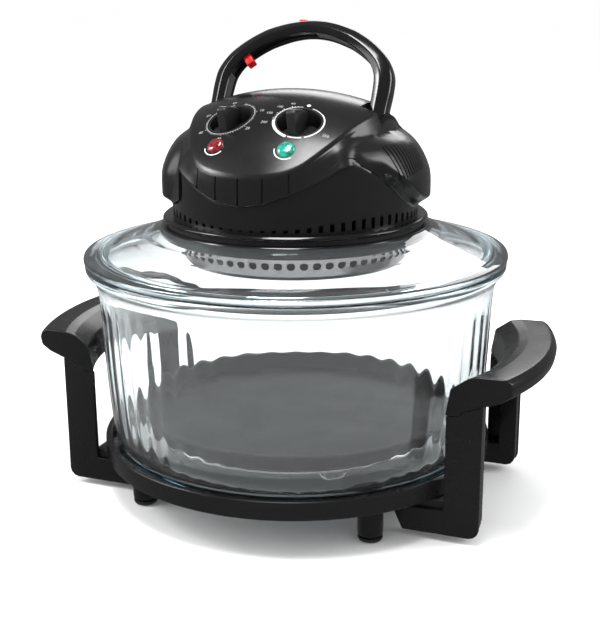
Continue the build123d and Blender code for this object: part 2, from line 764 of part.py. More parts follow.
with BuildPart() as release_button:
    with BuildSketch(BUTTON.offset(-3.6)):
        Rectangle(9.0, 8.0)
    extrude(amount=5.8)
save(release_button, "release_button")

with BuildPart() as pivot_pins:
    for sx in (-1, 1):
        with BuildSketch(SIDE.offset(sx * (notch_in_x - wall))):
            with Locations((pivot_y, pivot_z)):
                Circle(pin_r)
        extrude(amount=sx * (pocket_out_x - notch_in_x + 2 * wall))
save(pivot_pins, "pivot_pins")

with BuildPart() as switch_plunger:
    with BuildSketch(HEAD.offset(267.0)):
        with Locations((-68.2, pivot_y)):
            Circle(2.0)
    extrude(amount=10.0)
save(switch_plunger, "switch_plunger")

with BuildPart() as safety_switch:
    with BuildSketch(HEAD.offset(254.0)):
        with Locations((-68.2, pivot_y)):
            Rectangle(10.0, 26.0)
    extrude(amount=11.0)
save(safety_switch, "safety_switch")
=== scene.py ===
import math

import bpy
import bmesh
import numpy as np
from mathutils import Matrix, Vector


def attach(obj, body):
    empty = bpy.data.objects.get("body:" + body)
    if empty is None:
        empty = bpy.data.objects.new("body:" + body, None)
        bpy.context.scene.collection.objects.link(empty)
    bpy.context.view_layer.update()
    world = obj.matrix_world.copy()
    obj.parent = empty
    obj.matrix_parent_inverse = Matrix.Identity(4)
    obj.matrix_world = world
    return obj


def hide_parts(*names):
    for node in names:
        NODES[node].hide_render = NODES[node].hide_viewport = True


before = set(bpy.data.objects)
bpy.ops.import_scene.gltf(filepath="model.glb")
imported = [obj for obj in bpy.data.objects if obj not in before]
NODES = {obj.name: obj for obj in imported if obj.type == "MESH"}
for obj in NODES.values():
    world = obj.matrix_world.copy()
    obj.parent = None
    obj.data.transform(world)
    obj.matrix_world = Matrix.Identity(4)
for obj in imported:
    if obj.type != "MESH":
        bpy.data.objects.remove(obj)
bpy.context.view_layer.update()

# ------------------------------------------------------------------ helpers
# Lengths in this script are millimetres and become metres when a mesh is made.
MM = 0.001
TURN = math.radians(-3.7)                     # the lid and its head sit turned by this
CT, ST = math.cos(TURN), math.sin(TURN)


def hp(x, y, z):
    return (x * CT - y * ST, x * ST + y * CT, z)


def polar(r, deg, z):
    """head frame, angle from its front towards its right side"""
    a = math.radians(deg)
    return hp(r * math.sin(a), -r * math.cos(a), z)


def smooth01(t):
    t = min(1.0, max(0.0, t))
    return t * t * (3 - 2 * t)


def table(xs, ys):
    return lambda v: float(np.interp(v, xs, ys))


def soft_table(xs, ys, width=3.0):
    """a table with its corners rounded"""
    def f(v):
        k = np.linspace(-width, width, 9)
        w = np.cos(k / width * math.pi / 2) + 0.05
        return float((np.interp(np.abs(v + k), xs, ys) * w).sum() / w.sum())
    return f


def make(name, verts, faces, material, body, angle=32, nodes=()):
    me = bpy.data.meshes.new(name)
    me.from_pydata([(v[0] * MM, v[1] * MM, v[2] * MM) for v in verts], [], faces)
    me.validate()
    bm = bmesh.new()
    bm.from_mesh(me)
    bmesh.ops.remove_doubles(bm, verts=bm.verts, dist=2e-6)
    bmesh.ops.recalc_face_normals(bm, faces=bm.faces)
    bm.to_mesh(me)
    bm.free()
    ob = bpy.data.objects.new(name, me)
    bpy.context.scene.collection.objects.link(ob)
    finish_piece(ob, material, body, angle, nodes)
    return ob


def finish_piece(ob, material, body, angle=32, nodes=()):
    shade(ob.data, angle)
    if material is not None:
        ob.data.materials.clear()
        ob.data.materials.append(material)
    if body:
        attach(ob, body)
    if nodes:
        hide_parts(*nodes)
    return ob


def shade(me, angle):
    for p in me.polygons:
        p.use_smooth = True
    me.set_sharp_from_angle(angle=math.radians(angle))


def bake(ob):
    """apply every modifier"""
    bpy.context.view_layer.update()
    dg = bpy.context.evaluated_depsgraph_get()
    me = bpy.data.meshes.new_from_object(ob.evaluated_get(dg))
    old = ob.data
    ob.modifiers.clear()
    ob.data = me
    me.name = ob.name
    if old.users == 0:
        bpy.data.meshes.remove(old)


def round_edges(ob, width, segments=3, limit=28, angle=40):
    m = ob.modifiers.new("bevel", "BEVEL")
    m.width = width * MM
    m.segments = segments
    m.limit_method = "ANGLE"
    m.angle_limit = math.radians(limit)
    m.use_clamp_overlap = True
    m.harden_normals = False
    bake(ob)
    shade(ob.data, angle)


def cut(ob, cutter, operation="DIFFERENCE"):
    m = ob.modifiers.new("cut", "BOOLEAN")
    m.operation = operation
    m.solver = "EXACT"
    m.use_self = True
    m.object = cutter
    bake(ob)


def drop(ob):
    me = ob.data
    bpy.data.objects.remove(ob)
    if me.users == 0:
        bpy.data.meshes.remove(me)


def ring_faces(rows, n, closed_rows=True):
    """faces of a grid of rows x n points, n closed round"""
    faces = []
    last = rows if closed_rows else rows - 1
    for i in range(last):
        j = (i + 1) % rows
        for k in range(n):
            m = (k + 1) % n
            faces.append((i * n + k, i * n + m, j * n + m, j * n + k))
    return faces


def revolve(name, profile, material, body, n=160, closed=True, angle=32, nodes=(), centre=(0, 0), flute=None):
    verts = []
    for i, (r, z) in enumerate(profile):
        for k in range(n):
            a = 2 * math.pi * k / n
            rr = r + (flute(i, r, z, a) if flute else 0.0)
            verts.append((centre[0] + rr * math.cos(a), centre[1] + rr * math.sin(a), z))
    return make(name, verts, ring_faces(len(profile), n, closed), material, body, angle, nodes)


def rounded(points, radii, steps=4):
    """closed profile with its corners rounded; radii is one number or a list"""
    out, count = [], len(points)
    for i, p in enumerate(points):
        r = radii if isinstance(radii, (int, float)) else radii[i]
        a, b, c = Vector(points[i - 1]), Vector(p), Vector(points[(i + 1) % count])
        u, v = a - b, c - b
        if r <= 0 or u.length < 1e-6 or v.length < 1e-6:
            out.append(tuple(b))
            continue
        ang = u.angle(v)
        d = min(r / max(math.tan(ang / 2), 1e-3), 0.48 * u.length, 0.48 * v.length)
        s, e = b + u.normalized() * d, b + v.normalized() * d
        for k in range(steps + 1):
            t = k / steps
            q = s * (1 - t) ** 2 + b * (2 * t * (1 - t)) + e * t ** 2
            out.append(tuple(q))
    return out


def prism(name, pts, to3d, d0, d1, material, body, bevel=0.0, nodes=(), segments=3):
    """flat polygon pts extruded from d0 to d1; to3d(u, v, d) gives the point"""
    n = len(pts)
    verts = [to3d(u, v, d0) for u, v in pts] + [to3d(u, v, d1) for u, v in pts]
    faces = [tuple(range(n)), tuple(range(2 * n - 1, n - 1, -1))]
    faces += [(i, (i + 1) % n, n + (i + 1) % n, n + i) for i in range(n)]
    ob = make(name, verts, faces, material, None)
    if bevel:
        round_edges(ob, bevel, segments)
    finish_piece(ob, material, body, 40, nodes)
    return ob


# ------------------------------------------------------------------ materials
def base_material(name):
    m = bpy.data.materials.new(name)
    m.use_nodes = True
    nt = m.node_tree
    nt.nodes.clear()
    out = nt.nodes.new("ShaderNodeOutputMaterial")
    sh = nt.nodes.new("ShaderNodeBsdfPrincipled")
    nt.links.new(sh.outputs["BSDF"], out.inputs["Surface"])
    co = nt.nodes.new("ShaderNodeTexCoord")
    return m, nt, sh, co, out


def noise(nt, co, scale, detail=4.0, rough=0.55, stretch=None):
    n = nt.nodes.new("ShaderNodeTexNoise")
    n.inputs["Scale"].default_value = scale
    n.inputs["Detail"].default_value = detail
    n.inputs["Roughness"].default_value = rough
    src = co.outputs["Object"]
    if stretch:
        mp = nt.nodes.new("ShaderNodeMapping")
        mp.inputs["Scale"].default_value = stretch
        nt.links.new(src, mp.inputs["Vector"])
        src = mp.outputs["Vector"]
    nt.links.new(src, n.inputs["Vector"])
    return n


def span(nt, source, lo, hi, a=0.35, b=0.65):
    r = nt.nodes.new("ShaderNodeMapRange")
    r.inputs["From Min"].default_value = a
    r.inputs["From Max"].default_value = b
    r.inputs["To Min"].default_value = lo
    r.inputs["To Max"].default_value = hi
    nt.links.new(source, r.inputs["Value"])
    return r.outputs["Result"]


def blend_colour(nt, fac, c0, c1):
    r = nt.nodes.new("ShaderNodeValToRGB")
    r.color_ramp.elements[0].position = 0.32
    r.color_ramp.elements[1].position = 0.68
    r.color_ramp.elements[0].color = (*c0, 1)
    r.color_ramp.elements[1].color = (*c1, 1)
    nt.links.new(fac, r.inputs["Fac"])
    return r.outputs["Color"]


def bump(nt, sh, source, strength, dist):
    b = nt.nodes.new("ShaderNodeBump")
    b.inputs["Strength"].default_value = strength
    b.inputs["Distance"].default_value = dist
    nt.links.new(source, b.inputs["Height"])
    nt.links.new(b.outputs["Normal"], sh.inputs["Normal"])
    return b


def plastic(name, dark, light, rough, spread=0.05, grain=900.0, grain_depth=0.00002, grain_strength=0.25, level=0.5, coat=0.0):
    m, nt, sh, co, _ = base_material(name)
    big = noise(nt, co, 9.0, 3.0)
    fine = noise(nt, co, grain, 2.0)
    mid = noise(nt, co, 45.0, 5.0)
    nt.links.new(blend_colour(nt, big.outputs["Fac"], dark, light), sh.inputs["Base Color"])
    nt.links.new(span(nt, mid.outputs["Fac"], rough - spread, rough + spread), sh.inputs["Roughness"])
    sh.inputs["Specular IOR Level"].default_value = level
    if coat:
        sh.inputs["Coat Weight"].default_value = coat
        sh.inputs["Coat Roughness"].default_value = 0.08
    bump(nt, sh, fine.outputs["Fac"], grain_strength, grain_depth)
    return m


def metal(name, dark, light, rough, spread=0.08, stretch=(1, 1, 60), scale=60.0, depth=0.00001, strength=0.3):
    m, nt, sh, co, _ = base_material(name)
    brush = noise(nt, co, scale, 3.0, 0.6, stretch)
    big = noise(nt, co, 14.0, 3.0)
    nt.links.new(blend_colour(nt, big.outputs["Fac"], dark, light), sh.inputs["Base Color"])
    nt.links.new(span(nt, brush.outputs["Fac"], rough - spread, rough + spread), sh.inputs["Roughness"])
    sh.inputs["Metallic"].default_value = 1.0
    bump(nt, sh, brush.outputs["Fac"], strength, depth)
    return m


def glass(name, tint, rough=0.0, wave=0.0, absorb=None, density=0.0, ior=1.47, clear=1.0):
    m, nt, sh, co, out = base_material(name)
    big = noise(nt, co, 5.0, 2.0)
    warm = tuple(min(1.0, c * 1.01) for c in tint)
    nt.links.new(blend_colour(nt, big.outputs["Fac"], tint, warm), sh.inputs["Base Color"])
    smear = noise(nt, co, 22.0, 4.0)
    nt.links.new(span(nt, smear.outputs["Fac"], rough, rough + 0.018, 0.5, 0.75), sh.inputs["Roughness"])
    sh.inputs["Transmission Weight"].default_value = clear
    sh.inputs["IOR"].default_value = ior
    if wave:
        w = noise(nt, co, 28.0, 2.0)
        bump(nt, sh, w.outputs["Fac"], 0.6, wave)
    if absorb:
        vol = nt.nodes.new("ShaderNodeVolumeAbsorption")
        vol.inputs["Color"].default_value = (*absorb, 1)
        vol.inputs["Density"].default_value = density
        nt.links.new(vol.outputs["Volume"], out.inputs["Volume"])
    return m


BLACK = plastic("satin_black_plastic", (0.0052, 0.0052, 0.0055), (0.0074, 0.0074, 0.0078), 0.26, 0.03, grain_strength=0.10, level=0.34)
HEAD = plastic("head_black_plastic", (0.0054, 0.0054, 0.0057), (0.0076, 0.0076, 0.0080), 0.24, 0.025, grain_strength=0.05, level=0.42)
GLOSS = plastic("gloss_black_plastic", (0.0034, 0.0034, 0.0037), (0.0052, 0.0052, 0.0055), 0.15, 0.03, grain_strength=0.06, level=0.45)
HANDLE = plastic("handle_black_plastic", (0.0034, 0.0034, 0.0037), (0.0052, 0.0052, 0.0055), 0.15, 0.03, grain_strength=0.06, level=0.5)
GREY = plastic("grey_handle_insert", (0.055, 0.055, 0.057), (0.078, 0.078, 0.080), 0.38, 0.05)
# dark plastic for the inner parts, also used as painted shade inside the dial recesses and the handle pockets
DARK_PLASTIC_AND_RECESS_SHADE = plastic("dark_inner_plastic_and_painted_recess_shade", (0.0028, 0.0028, 0.0028), (0.0050, 0.0050, 0.0050), 0.55, 0.06, level=0.25)
KNOB = plastic("knob_plastic", (0.0105, 0.0105, 0.011), (0.0155, 0.0155, 0.016), 0.34, 0.05)
RUBBER = plastic("matt_rubber", (0.010, 0.010, 0.010), (0.016, 0.016, 0.016), 0.72, 0.06, grain=400.0, grain_strength=0.5)
PRINT = plastic("white_print", (0.62, 0.62, 0.62), (0.72, 0.72, 0.71), 0.5, 0.05)
PRINT_DIM = plastic("grey_print", (0.30, 0.30, 0.30), (0.38, 0.38, 0.38), 0.5, 0.05)
RED = plastic("red_plastic", (0.42, 0.003, 0.005), (0.52, 0.008, 0.008), 0.34, 0.04)
WHITE = plastic("white_acetal", (0.62, 0.62, 0.60), (0.72, 0.72, 0.70), 0.42, 0.05)
CERAMIC = plastic("unglazed_ceramic", (0.66, 0.64, 0.58), (0.76, 0.74, 0.69), 0.62, 0.06, grain=600.0, grain_strength=0.5)
STEEL = metal("brushed_guard_steel", (0.30, 0.30, 0.305), (0.42, 0.42, 0.425), 0.34, 0.08, stretch=(1, 1, 40))
BRIGHT = metal("bright_aluminium", (0.68, 0.68, 0.69), (0.80, 0.80, 0.81), 0.22, 0.07, stretch=(1, 1, 1))
PLAIN = metal("plain_pressed_steel", (0.36, 0.36, 0.37), (0.48, 0.48, 0.49), 0.42, 0.08, stretch=(1, 1, 1))
CHROME = metal("plated_wire", (0.62, 0.62, 0.63), (0.74, 0.74, 0.75), 0.14, 0.05, stretch=(1, 1, 1))
BRASS = metal("brass_contact", (0.60, 0.44, 0.18), (0.72, 0.54, 0.26), 0.28, 0.06, stretch=(1, 1, 1))
ENAMEL = plastic("dark_nonstick_coating", (0.011, 0.0115, 0.012), (0.017, 0.0175, 0.018), 0.46, 0.06, grain=1400.0, grain_strength=0.5, level=0.18)
# dark steel for the grille and the circulation fan, also used as painted shade on the reflector and on the sheet behind
# the guard ring
DARK_METAL_AND_SHADE = metal("dark_baked_steel_and_painted_shade", (0.050, 0.050, 0.052), (0.085, 0.085, 0.088), 0.40, 0.08, stretch=(1, 1, 1))
BOWL_GLASS = glass("clear_bowl_glass", (0.872, 0.872, 0.870), 0.0, 0.00002, (0.50, 0.76, 0.84), 18.0, clear=0.98)
LID_GLASS = glass("clear_lid_glass", (0.850, 0.848, 0.845), 0.0, 0.0, (0.34, 0.68, 0.80), 18.0, clear=0.975)
QUARTZ = glass("satin_quartz", (0.92, 0.86, 0.80), 0.18)


def jewel(name, dark, light):
    m, nt, sh, co, _ = base_material(name)
    n = noise(nt, co, 260.0, 2.0)
    nt.links.new(blend_colour(nt, n.outputs["Fac"], dark, light), sh.inputs["Base Color"])
    nt.links.new(span(nt, n.outputs["Fac"], 0.10, 0.20), sh.inputs["Roughness"])
    sh.inputs["Transmission Weight"].default_value = 0.25
    sh.inputs["Coat Weight"].default_value = 1.0
    sh.inputs["Coat Roughness"].default_value = 0.03
    bump(nt, sh, n.outputs["Fac"], 0.5, 0.0003)
    return m


RED_JEWEL = jewel("red_jewel", (0.075, 0.003, 0.006), (0.30, 0.016, 0.028))
GREEN_JEWEL = jewel("green_jewel", (0.002, 0.17, 0.12), (0.03, 0.55, 0.40))

# ------------------------------------------------------------------ the stand
ring = rounded([(152.0, 45.9), (157.3, 45.9), (157.3, 31.0), (136.0, 31.0), (136.0, 35.0), (152.0, 35.0)],
               [0.8, 1.6, 2.0, 0.6, 0.6, 1.0])
revolve("stand_ring_shell", ring, BLACK, "stand", n=200, nodes=["stand_ring"])

GRIP = rounded([(164.6, 98.4), (167.6, 119.0), (178.5, 128.0), (186.0, 129.7), (203.0, 130.0), (206.5, 127.5), (207.9, 123.5),
                (206.8, 117.0), (200.0, 112.0), (189.0, 107.6), (177.0, 102.6), (171.8, 98.6)],
               [1.2, 2.0, 3.0, 2.0, 3.0, 2.5, 3.0, 3.5, 2.0, 2.0, 2.0, 1.5], 3)

for sx, side in ((-1, "left"), (1, "right")):
    # grip: the section follows the bowl round and is cut off square at each end
    ys = np.linspace(-80, 80, 49)
    n = len(GRIP)
    verts = [(sx * math.sqrt(r * r - y * y), y, z) for y in ys for r, z in GRIP]
    faces = [(i * n + k, i * n + (k + 1) % n, (i + 1) * n + (k + 1) % n, (i + 1) * n + k) for i in range(len(ys) - 1) for k in range(n)]
    faces += [tuple(range(n)), tuple(range(len(ys) * n - 1, (len(ys) - 1) * n - 1, -1))]
    g = make("grip_shell_" + side, verts, faces, BLACK, None)
    round_edges(g, 1.3, 3, 50)
    finish_piece(g, BLACK, "stand", 42, ["grip_" + side])

    for sy, end in ((-1, "front"), (1, "rear")):
        name = "leg_" + end + "_" + side
        y0 = sy * 80.0
        d = -sy

        def flat(u, v, w, sx=sx, y0=y0, d=d):
            return (sx * u, y0 + d * w, v)

        full = [(105.0, 24.0), (114.0, 4.7), (164.2, 4.7), (167.6, 5.7), (170.4, 8.3), (171.4, 11.7), (171.4, 24.0), (171.4, 107.6), (158.0, 102.6),
                (152.0, 98.6), (144.9, 98.2), (144.9, 24.0)]
        a = prism(name + "_plate", full, flat, 0.0, 4.0, BLACK, None, 0.9)
        b = prism(name + "_edge", [(157.0, 14.0), (170.9, 14.0), (170.9, 106.8), (157.0, 101.6)], flat, 2.0, 16.0, BLACK, None, 0.9)
        c = prism(name + "_arm", [(106.5, 23.6), (114.6, 5.2), (164.0, 5.2), (167.5, 6.4), (169.7, 9.0), (170.5, 12.4), (170.5, 23.6)], flat, 2.0, 15.5, BLACK, None, 0.9)
        e = prism(name + "_bracket", [(114.0, 22.0), (148.0, 22.0), (148.0, 31.0), (114.0, 31.0)], flat, 3.0, 21.0, BLACK, None, 0.6)
        bm = bmesh.new()
        for o in (a, b, c, e):
            bm.from_mesh(o.data)
        me = bpy.data.meshes.new(name + "_shell")
        bm.to_mesh(me)
        bm.free()
        for o in (a, b, c, e):
            drop(o)
        o = bpy.data.objects.new(name + "_shell", me)
        bpy.context.scene.collection.objects.link(o)
        finish_piece(o, BLACK, "stand", 40, [name])

feet = []
for k in range(4):
    a = math.radians(45 + 90 * k)
    cx, cy = 132.5 * math.cos(a), 132.5 * math.sin(a)
    feet.append((cx, cy))


def joined_revolves(name, profile, centres, material, body, nodes, n=40, angle=34):
    verts, faces = [], []
    for cx, cy in centres:
        base = len(verts)
        for r, z in profile:
            for k in range(n):
                t = 2 * math.pi * k / n
                verts.append((cx + r * math.cos(t), cy + r * math.sin(t), z))
        faces += [tuple(base + i for i in f) for f in ring_faces(len(profile), n, False)]
    return make(name, verts, faces, material, body, angle, nodes)


joined_revolves("feet_shell", [(0.001, 31.0), (9.75, 31.0), (9.75, 7.0), (9.4, 5.0), (8.4, 3.4), (7.6, 3.0), (0.001, 3.0)], feet, BLACK, "stand",
                ["feet"])
joined_revolves("foot_pads_shell", [(0.001, 3.0), (9.35, 3.0), (9.35, 1.6), (8.8, 0.5), (8.0, 0.0), (0.001, 0.0)], feet, RUBBER, "stand",
                ["foot_pads"])

# ------------------------------------------------------------------ bowl
FLUTES = 60
outer = [(138.0, 35.3), (143.0, 36.4), (146.4, 40.0), (148.2, 46.0), (150.0, 56.0), (151.2, 66.0), (152.3, 78.0), (153.2, 90.0), (154.0, 102.0),
         (154.7, 115.0), (155.3, 128.0), (155.9, 142.0), (156.5, 155.0), (157.3, 166.0), (158.3, 171.5), (160.2, 176.5), (163.0, 180.6),
         (165.4, 183.2), (166.5, 185.4), (166.6, 188.0), (165.9, 189.5), (164.6, 189.8)]
inner = [(161.0, 189.8), (159.6, 189.0), (158.4, 186.6), (157.0, 183.0), (155.0, 178.4), (153.4, 173.4), (152.4, 166.0), (151.7, 155.0), (151.1, 142.0),
         (150.5, 128.0), (149.8, 115.0), (149.1, 102.0), (148.2, 90.0), (147.2, 78.0), (146.0, 66.0), (144.2, 56.0), (141.6, 48.6), (137.6, 44.0),
         (132.0, 42.0), (124.0, 41.8)]
bowl_profile = [(0.001, 35.3), (60.0, 35.3), (124.0, 35.3)] + outer + inner + [(60.0, 41.8), (0.001, 41.8)]
first_inner = 3 + len(outer)


def flute(i, r, z, a):
    if i < first_inner or z > 172 or z < 44:
        return 0.0
    fade = smooth01((172 - z) / 14) * smooth01((z - 44) / 12)
    return 0.17 * fade * math.cos(FLUTES * a)


revolve("glass_bowl_shell", bowl_profile, BOWL_GLASS, "bowl", n=480, closed=False, angle=50, nodes=["glass_bowl"], flute=flute)

# rack: a ring, nine cross wires and bent feet
RING_N = 120
rack_v, rack_f = [], []


def tube(points, r, closed=False, n=10):
    base = len(rack_v)
    count = len(points)
    for i, p in enumerate(points):
        a = Vector(points[i - 1] if (closed or i > 0) else p)
        b = Vector(points[(i + 1) % count] if (closed or i < count - 1) else p)
        t = (b - a).normalized()
        up = Vector((0, 0, 1)) if abs(t.z) < 0.9 else Vector((1, 0, 0))
        s = t.cross(up).normalized()
        w = s.cross(t).normalized()
        for k in range(n):
            ang = 2 * math.pi * k / n
            rack_v.append(tuple(Vector(p) + s * (r * math.cos(ang)) + w * (r * math.sin(ang))))
    last = count if closed else count - 1
    for i in range(last):
        j = (i + 1) % count
        for k in range(n):
            m = (k + 1) % n
            rack_f.append((base + i * n + k, base + i * n + m, base + j * n + m, base + j * n + k))
    if not closed:
        rack_f.append(tuple(base + k for k in range(n)))
        rack_f.append(tuple(base + (count - 1) * n + k for k in range(n - 1, -1, -1)))


tube([(116 * math.cos(2 * math.pi * k / RING_N), 116 * math.sin(2 * math.pi * k / RING_N), 51.0) for k in range(RING_N)], 1.9, True)
for k in range(-4, 5):
    off = k * 22.0
    half = math.sqrt(116.0 ** 2 - off ** 2)
    tube([(-half, off, 51.0), (0, off, 51.0), (half, off, 51.0)], 1.5)
for k in range(4):
    path = []
    for deg, z in ((29, 51.0), (29.6, 48.0), (30.4, 45.2), (31.6, 43.9), (34, 43.7), (36.4, 43.9), (37.6, 45.2), (38.4, 48.0), (39, 51.0)):
        a = math.radians(deg + 90 * k)
        path.append((116 * math.cos(a), 116 * math.sin(a), z))
    tube(path, 1.5)
make("wire_rack_shell", rack_v, rack_f, CHROME, "rack", 60, ["wire_rack"])

pan = rounded([(0.001, 53.4), (119.0, 53.4), (123.0, 56.0), (125.5, 67.0), (130.0, 67.0), (130.0, 68.6), (124.0, 68.6), (121.6, 57.2),
               (118.4, 55.0), (0.001, 55.0)], [0, 3, 3, 1, 0.7, 0.7, 1.5, 2.5, 2.5, 0], 3)
revolve("baking_pan_shell", pan, ENAMEL, "pan", n=160, closed=False, nodes=["baking_pan"])

# ------------------------------------------------------------------ lid
lid_profile = rounded([(104.55, 217.0), (110.0, 214.2), (120.0, 209.6), (131.0, 205.5), (141.0, 202.0), (150.0, 199.0), (157.0, 197.1), (163.0, 196.2),
                       (167.0, 195.2), (167.5, 193.0), (167.2, 191.0), (165.4, 190.1), (158.0, 190.1), (155.4, 187.4), (151.6, 187.4),
                       (150.8, 193.0), (146.0, 195.6), (137.0, 199.0), (126.0, 202.9), (114.0, 207.6), (104.55, 212.7)],
                      [0.3, 20, 20, 20, 20, 20, 10, 6, 2.0, 2, 1.4, 1.4, 0.6, 1.2, 1.2, 3.0, 5, 20, 20, 20, 0.3], 3)
revolve("glass_lid_shell", lid_profile, LID_GLASS, "lid", n=480, angle=50, nodes=["glass_lid"])

lower = rounded([(88.0, 204.5), (97.0, 204.5), (100.0, 205.0), (105.8, 206.2), (106.6, 207.4), (106.6, 215.6), (105.2, 217.3), (88.0, 217.3)],
                [0.1, 0.3, 1.5, 1.2, 0.8, 1.2, 0.8, 0.2], 3)
revolve("lower_flange_shell", lower, GLOSS, "lid", n=200, nodes=["lower_flange"])
upper = rounded([(60.0, 221.0), (101.5, 220.6), (104.5, 221.6), (104.5, 223.0), (102.8, 224.6), (60.0, 224.6)], [0.1, 1.0, 1.0, 1.2, 1.4, 0.1], 3)
revolve("head_base_shell", upper, GLOSS, "lid", n=200, nodes=["head_base"])

# dark sheet behind the perforated guard ring, painted dark as the shade seen through its holes
skirt = rounded([(87.6, 203.6), (84.4, 196.0), (80.6, 188.4), (79.8, 188.4), (83.6, 196.0), (86.8, 203.6)], [0.1, 3, 0.3, 0.3, 3, 0.1], 3)
revolve("guard_shade_skirt_shell", skirt, DARK_METAL_AND_SHADE, "lid", n=160, nodes=[])

# ------------------------------------------------------------------ head: surfaces
def crown(x, y):
    spine = 320.0 - 0.0057 * y * y
    return 112.0 + math.sqrt(max(1.0, (spine - 112.0) ** 2 - x * x))


def ellipse_r(t):
    a = math.radians(t)
    return 1.0 / math.sqrt((math.sin(a) / 107.0) ** 2 + (math.cos(a) / 97.0) ** 2)


ear_scale = table([225, 236, 252, 258, 262, 267, 272, 277, 281, 284, 287, 289, 290.5], [1, 1, 1, 0.995, 0.985, 0.967, 0.944, 0.915, 0.884, 0.853, 0.81, 0.77, 0.70])
crease_r = soft_table([0, 11, 20, 26.8, 31.3, 36, 41.3, 49.2, 58.8, 70, 80, 90, 105, 118, 130, 142, 155, 168, 180],
                      [98.2, 98.2, 97.6, 95.4, 92.7, 89.9, 87.0, 83.0, 79.4, 77.2, 76.2, 75.8, 76.4, 79.5, 84.0, 89.5, 94.0, 96.3, 96.8], 4.0)
edge_z = soft_table([0, 11, 22.5, 31, 40, 44, 48, 53, 58, 64, 70, 78, 85, 92, 104, 180],
                    [243.5, 246.0, 253.4, 259.4, 266.5, 270.6, 273.6, 272.4, 269.0, 262.6, 254.0, 244.0, 237.4, 233.4, 231.6, 231.6], 2.2)
edge_r = soft_table([0, 36, 44, 52, 180], [99.0, 99.0, 98.2, 96.97, 96.97], 3.0)
rise_h = soft_table([0, 48, 60, 78, 90, 180], [16, 16, 15, 12, 9, 9], 4.0)
# the left ear starts at an upright slit and hangs low all the way back
left_edge = soft_table([0, 38, 44, 50, 60, 85, 104, 180], [243.5, 242.5, 238.0, 234.8, 233.4, 232.6, 231.6, 231.6], 2.0)
left_rise = soft_table([0, 60, 90, 180], [6.5, 6.5, 9, 9], 4.0)


def edge_at(t):
    z = edge_z(abs(t))
    if t >= 0 or abs(t) < 37.3:
        return z
    return min(z, left_edge(abs(t)))


def rise_at(t):
    return rise_h(abs(t)) if t >= 0 else left_rise(abs(t))


def side_r(t, z, rc, zc, re, ze, rise):
    """radius of the outer shell at height z"""
    down = max(0.0, zc - z)
    if t < 44:
        wall = rc + (re - rc) * (down / max(1e-6, zc - ze)) ** 0.9
    else:
        slope = 0.42
        wall44 = rc + (99.0 - rc) * (down / max(1e-6, zc - ze)) ** 0.9
        k = smooth01((t - 44) / 22)
        wall = wall44 * (1 - k) + (rc + slope * down * math.exp(-down / 60.0)) * k
        wall = min(wall, 99.0 + 10 * k)
    amp = smooth01((t - 36) / 20)
    ear = ellipse_r(t) * ear_scale(z) * amp + 84.0 * (1 - amp)
    if z > 290.4:
        ear = min(ear, 60.0)
    ear = re + (ear - re) * smooth01((z - ze) / rise) if ear > re else ear
    s = 4.5
    m = max(wall, ear)
    return m + s * math.log1p(math.exp(-abs(wall - ear) / s)) * 0.6 * smooth01((z - ze) / 10) * smooth01((zc - z) / 6) if abs(wall - ear) < 30 else m


def outer_profile(t):
    """crown from the axis to the crease, then down the side to the lower edge, in (r, z)"""
    ze, rise = edge_at(t), rise_at(t)
    t = abs(t)
    rc = crease_r(t)
    a = math.radians(t)
    sx_, cy_ = math.sin(a), -math.cos(a)
    pts = []
    NC, NS = 24, 34
    for i in range(NC):
        r = (rc - 2.6) * (i / (NC - 1)) ** 0.9
        pts.append((r, crown(r * sx_, r * cy_)))
    z0 = crown(rc * sx_, rc * cy_)
    re = edge_r(t)
    zc = z0 - 1.4
    for f in (0.25, 0.5, 0.75):
        r = rc - 2.6 + 2.6 * f
        zz = crown(r * sx_, r * cy_) - 1.4 * f ** 2.2
        pts.append((r, zz))
    for i in range(NS):
        f = i / (NS - 1)
        f = f + 0.10 * math.sin(math.pi * f) * f
        z = zc + (ze - zc) * f
        r = side_r(t, z, rc, zc, re, ze, rise)
        if f < 0.06:
            r = rc + (r - rc) * (f / 0.06)
        turn = 1.5 * (1 - smooth01((t - 42) / 8))
        if z < ze + turn and turn > 0.01:
            q = 1 - (z - ze) / turn
            r -= turn * 0.75 * (1 - math.sqrt(max(0.0, 1 - q * q)))
        pts.append((r, z))
    return pts


COLS = 300
columns = [outer_profile(t if t <= 180 else t - 360) for t in np.linspace(0, 360, COLS, endpoint=False)]
ROWS = len(columns[0])


def shell_mesh(name, inset, thick, material):
    """closed shell: the outer surface, and an inner one thick further in; inset is not used"""
    verts, faces = [], []
    rows = 2 * ROWS
    for k, t in enumerate(np.linspace(0, 360, COLS, endpoint=False)):
        out = columns[k]
        inn = []
        for i, (r, z) in enumerate(out):
            a = out[max(0, i - 1)]
            b = out[min(ROWS - 1, i + 1)]
            tr, tz = b[0] - a[0], b[1] - a[1]
            l = math.hypot(tr, tz) or 1.0
            nr, nz = -tz / l, tr / l
            if nr < 0 and abs(nr) > 0.2 and i > ROWS - 14:
                pass
            inn.append((max(0.0, r - nr * thick), z - nz * thick))
        inn[0] = (0.0, out[0][1] - thick)
        inn[-1] = (out[-1][0] - thick, out[-1][1])
        for r, z in out + inn[::-1]:
            verts.append(polar(r, t, z))
    for k in range(COLS):
        m = (k + 1) % COLS
        for i in range(rows - 1):
            faces.append((k * rows + i, m * rows + i, m * rows + i + 1, k * rows + i + 1))
    return make(name, verts, faces, material, None, 30)


def solid_mesh(name):
    """the same outside as one filled block, for trimming"""
    verts, faces = [], []
    for k, t in enumerate(np.linspace(0, 360, COLS, endpoint=False)):
        for r, z in columns[k]:
            verts.append(polar(r, t, z))
        verts.append(polar(0.0, t, 228.0))
    rows = ROWS + 1
    for k in range(COLS):
        m = (k + 1) % COLS
        for i in range(rows - 1):
            faces.append((k * rows + i, m * rows + i, m * rows + i + 1, k * rows + i + 1))
    return make(name, verts, faces, DARK_PLASTIC_AND_RECESS_SHADE, None, 30)


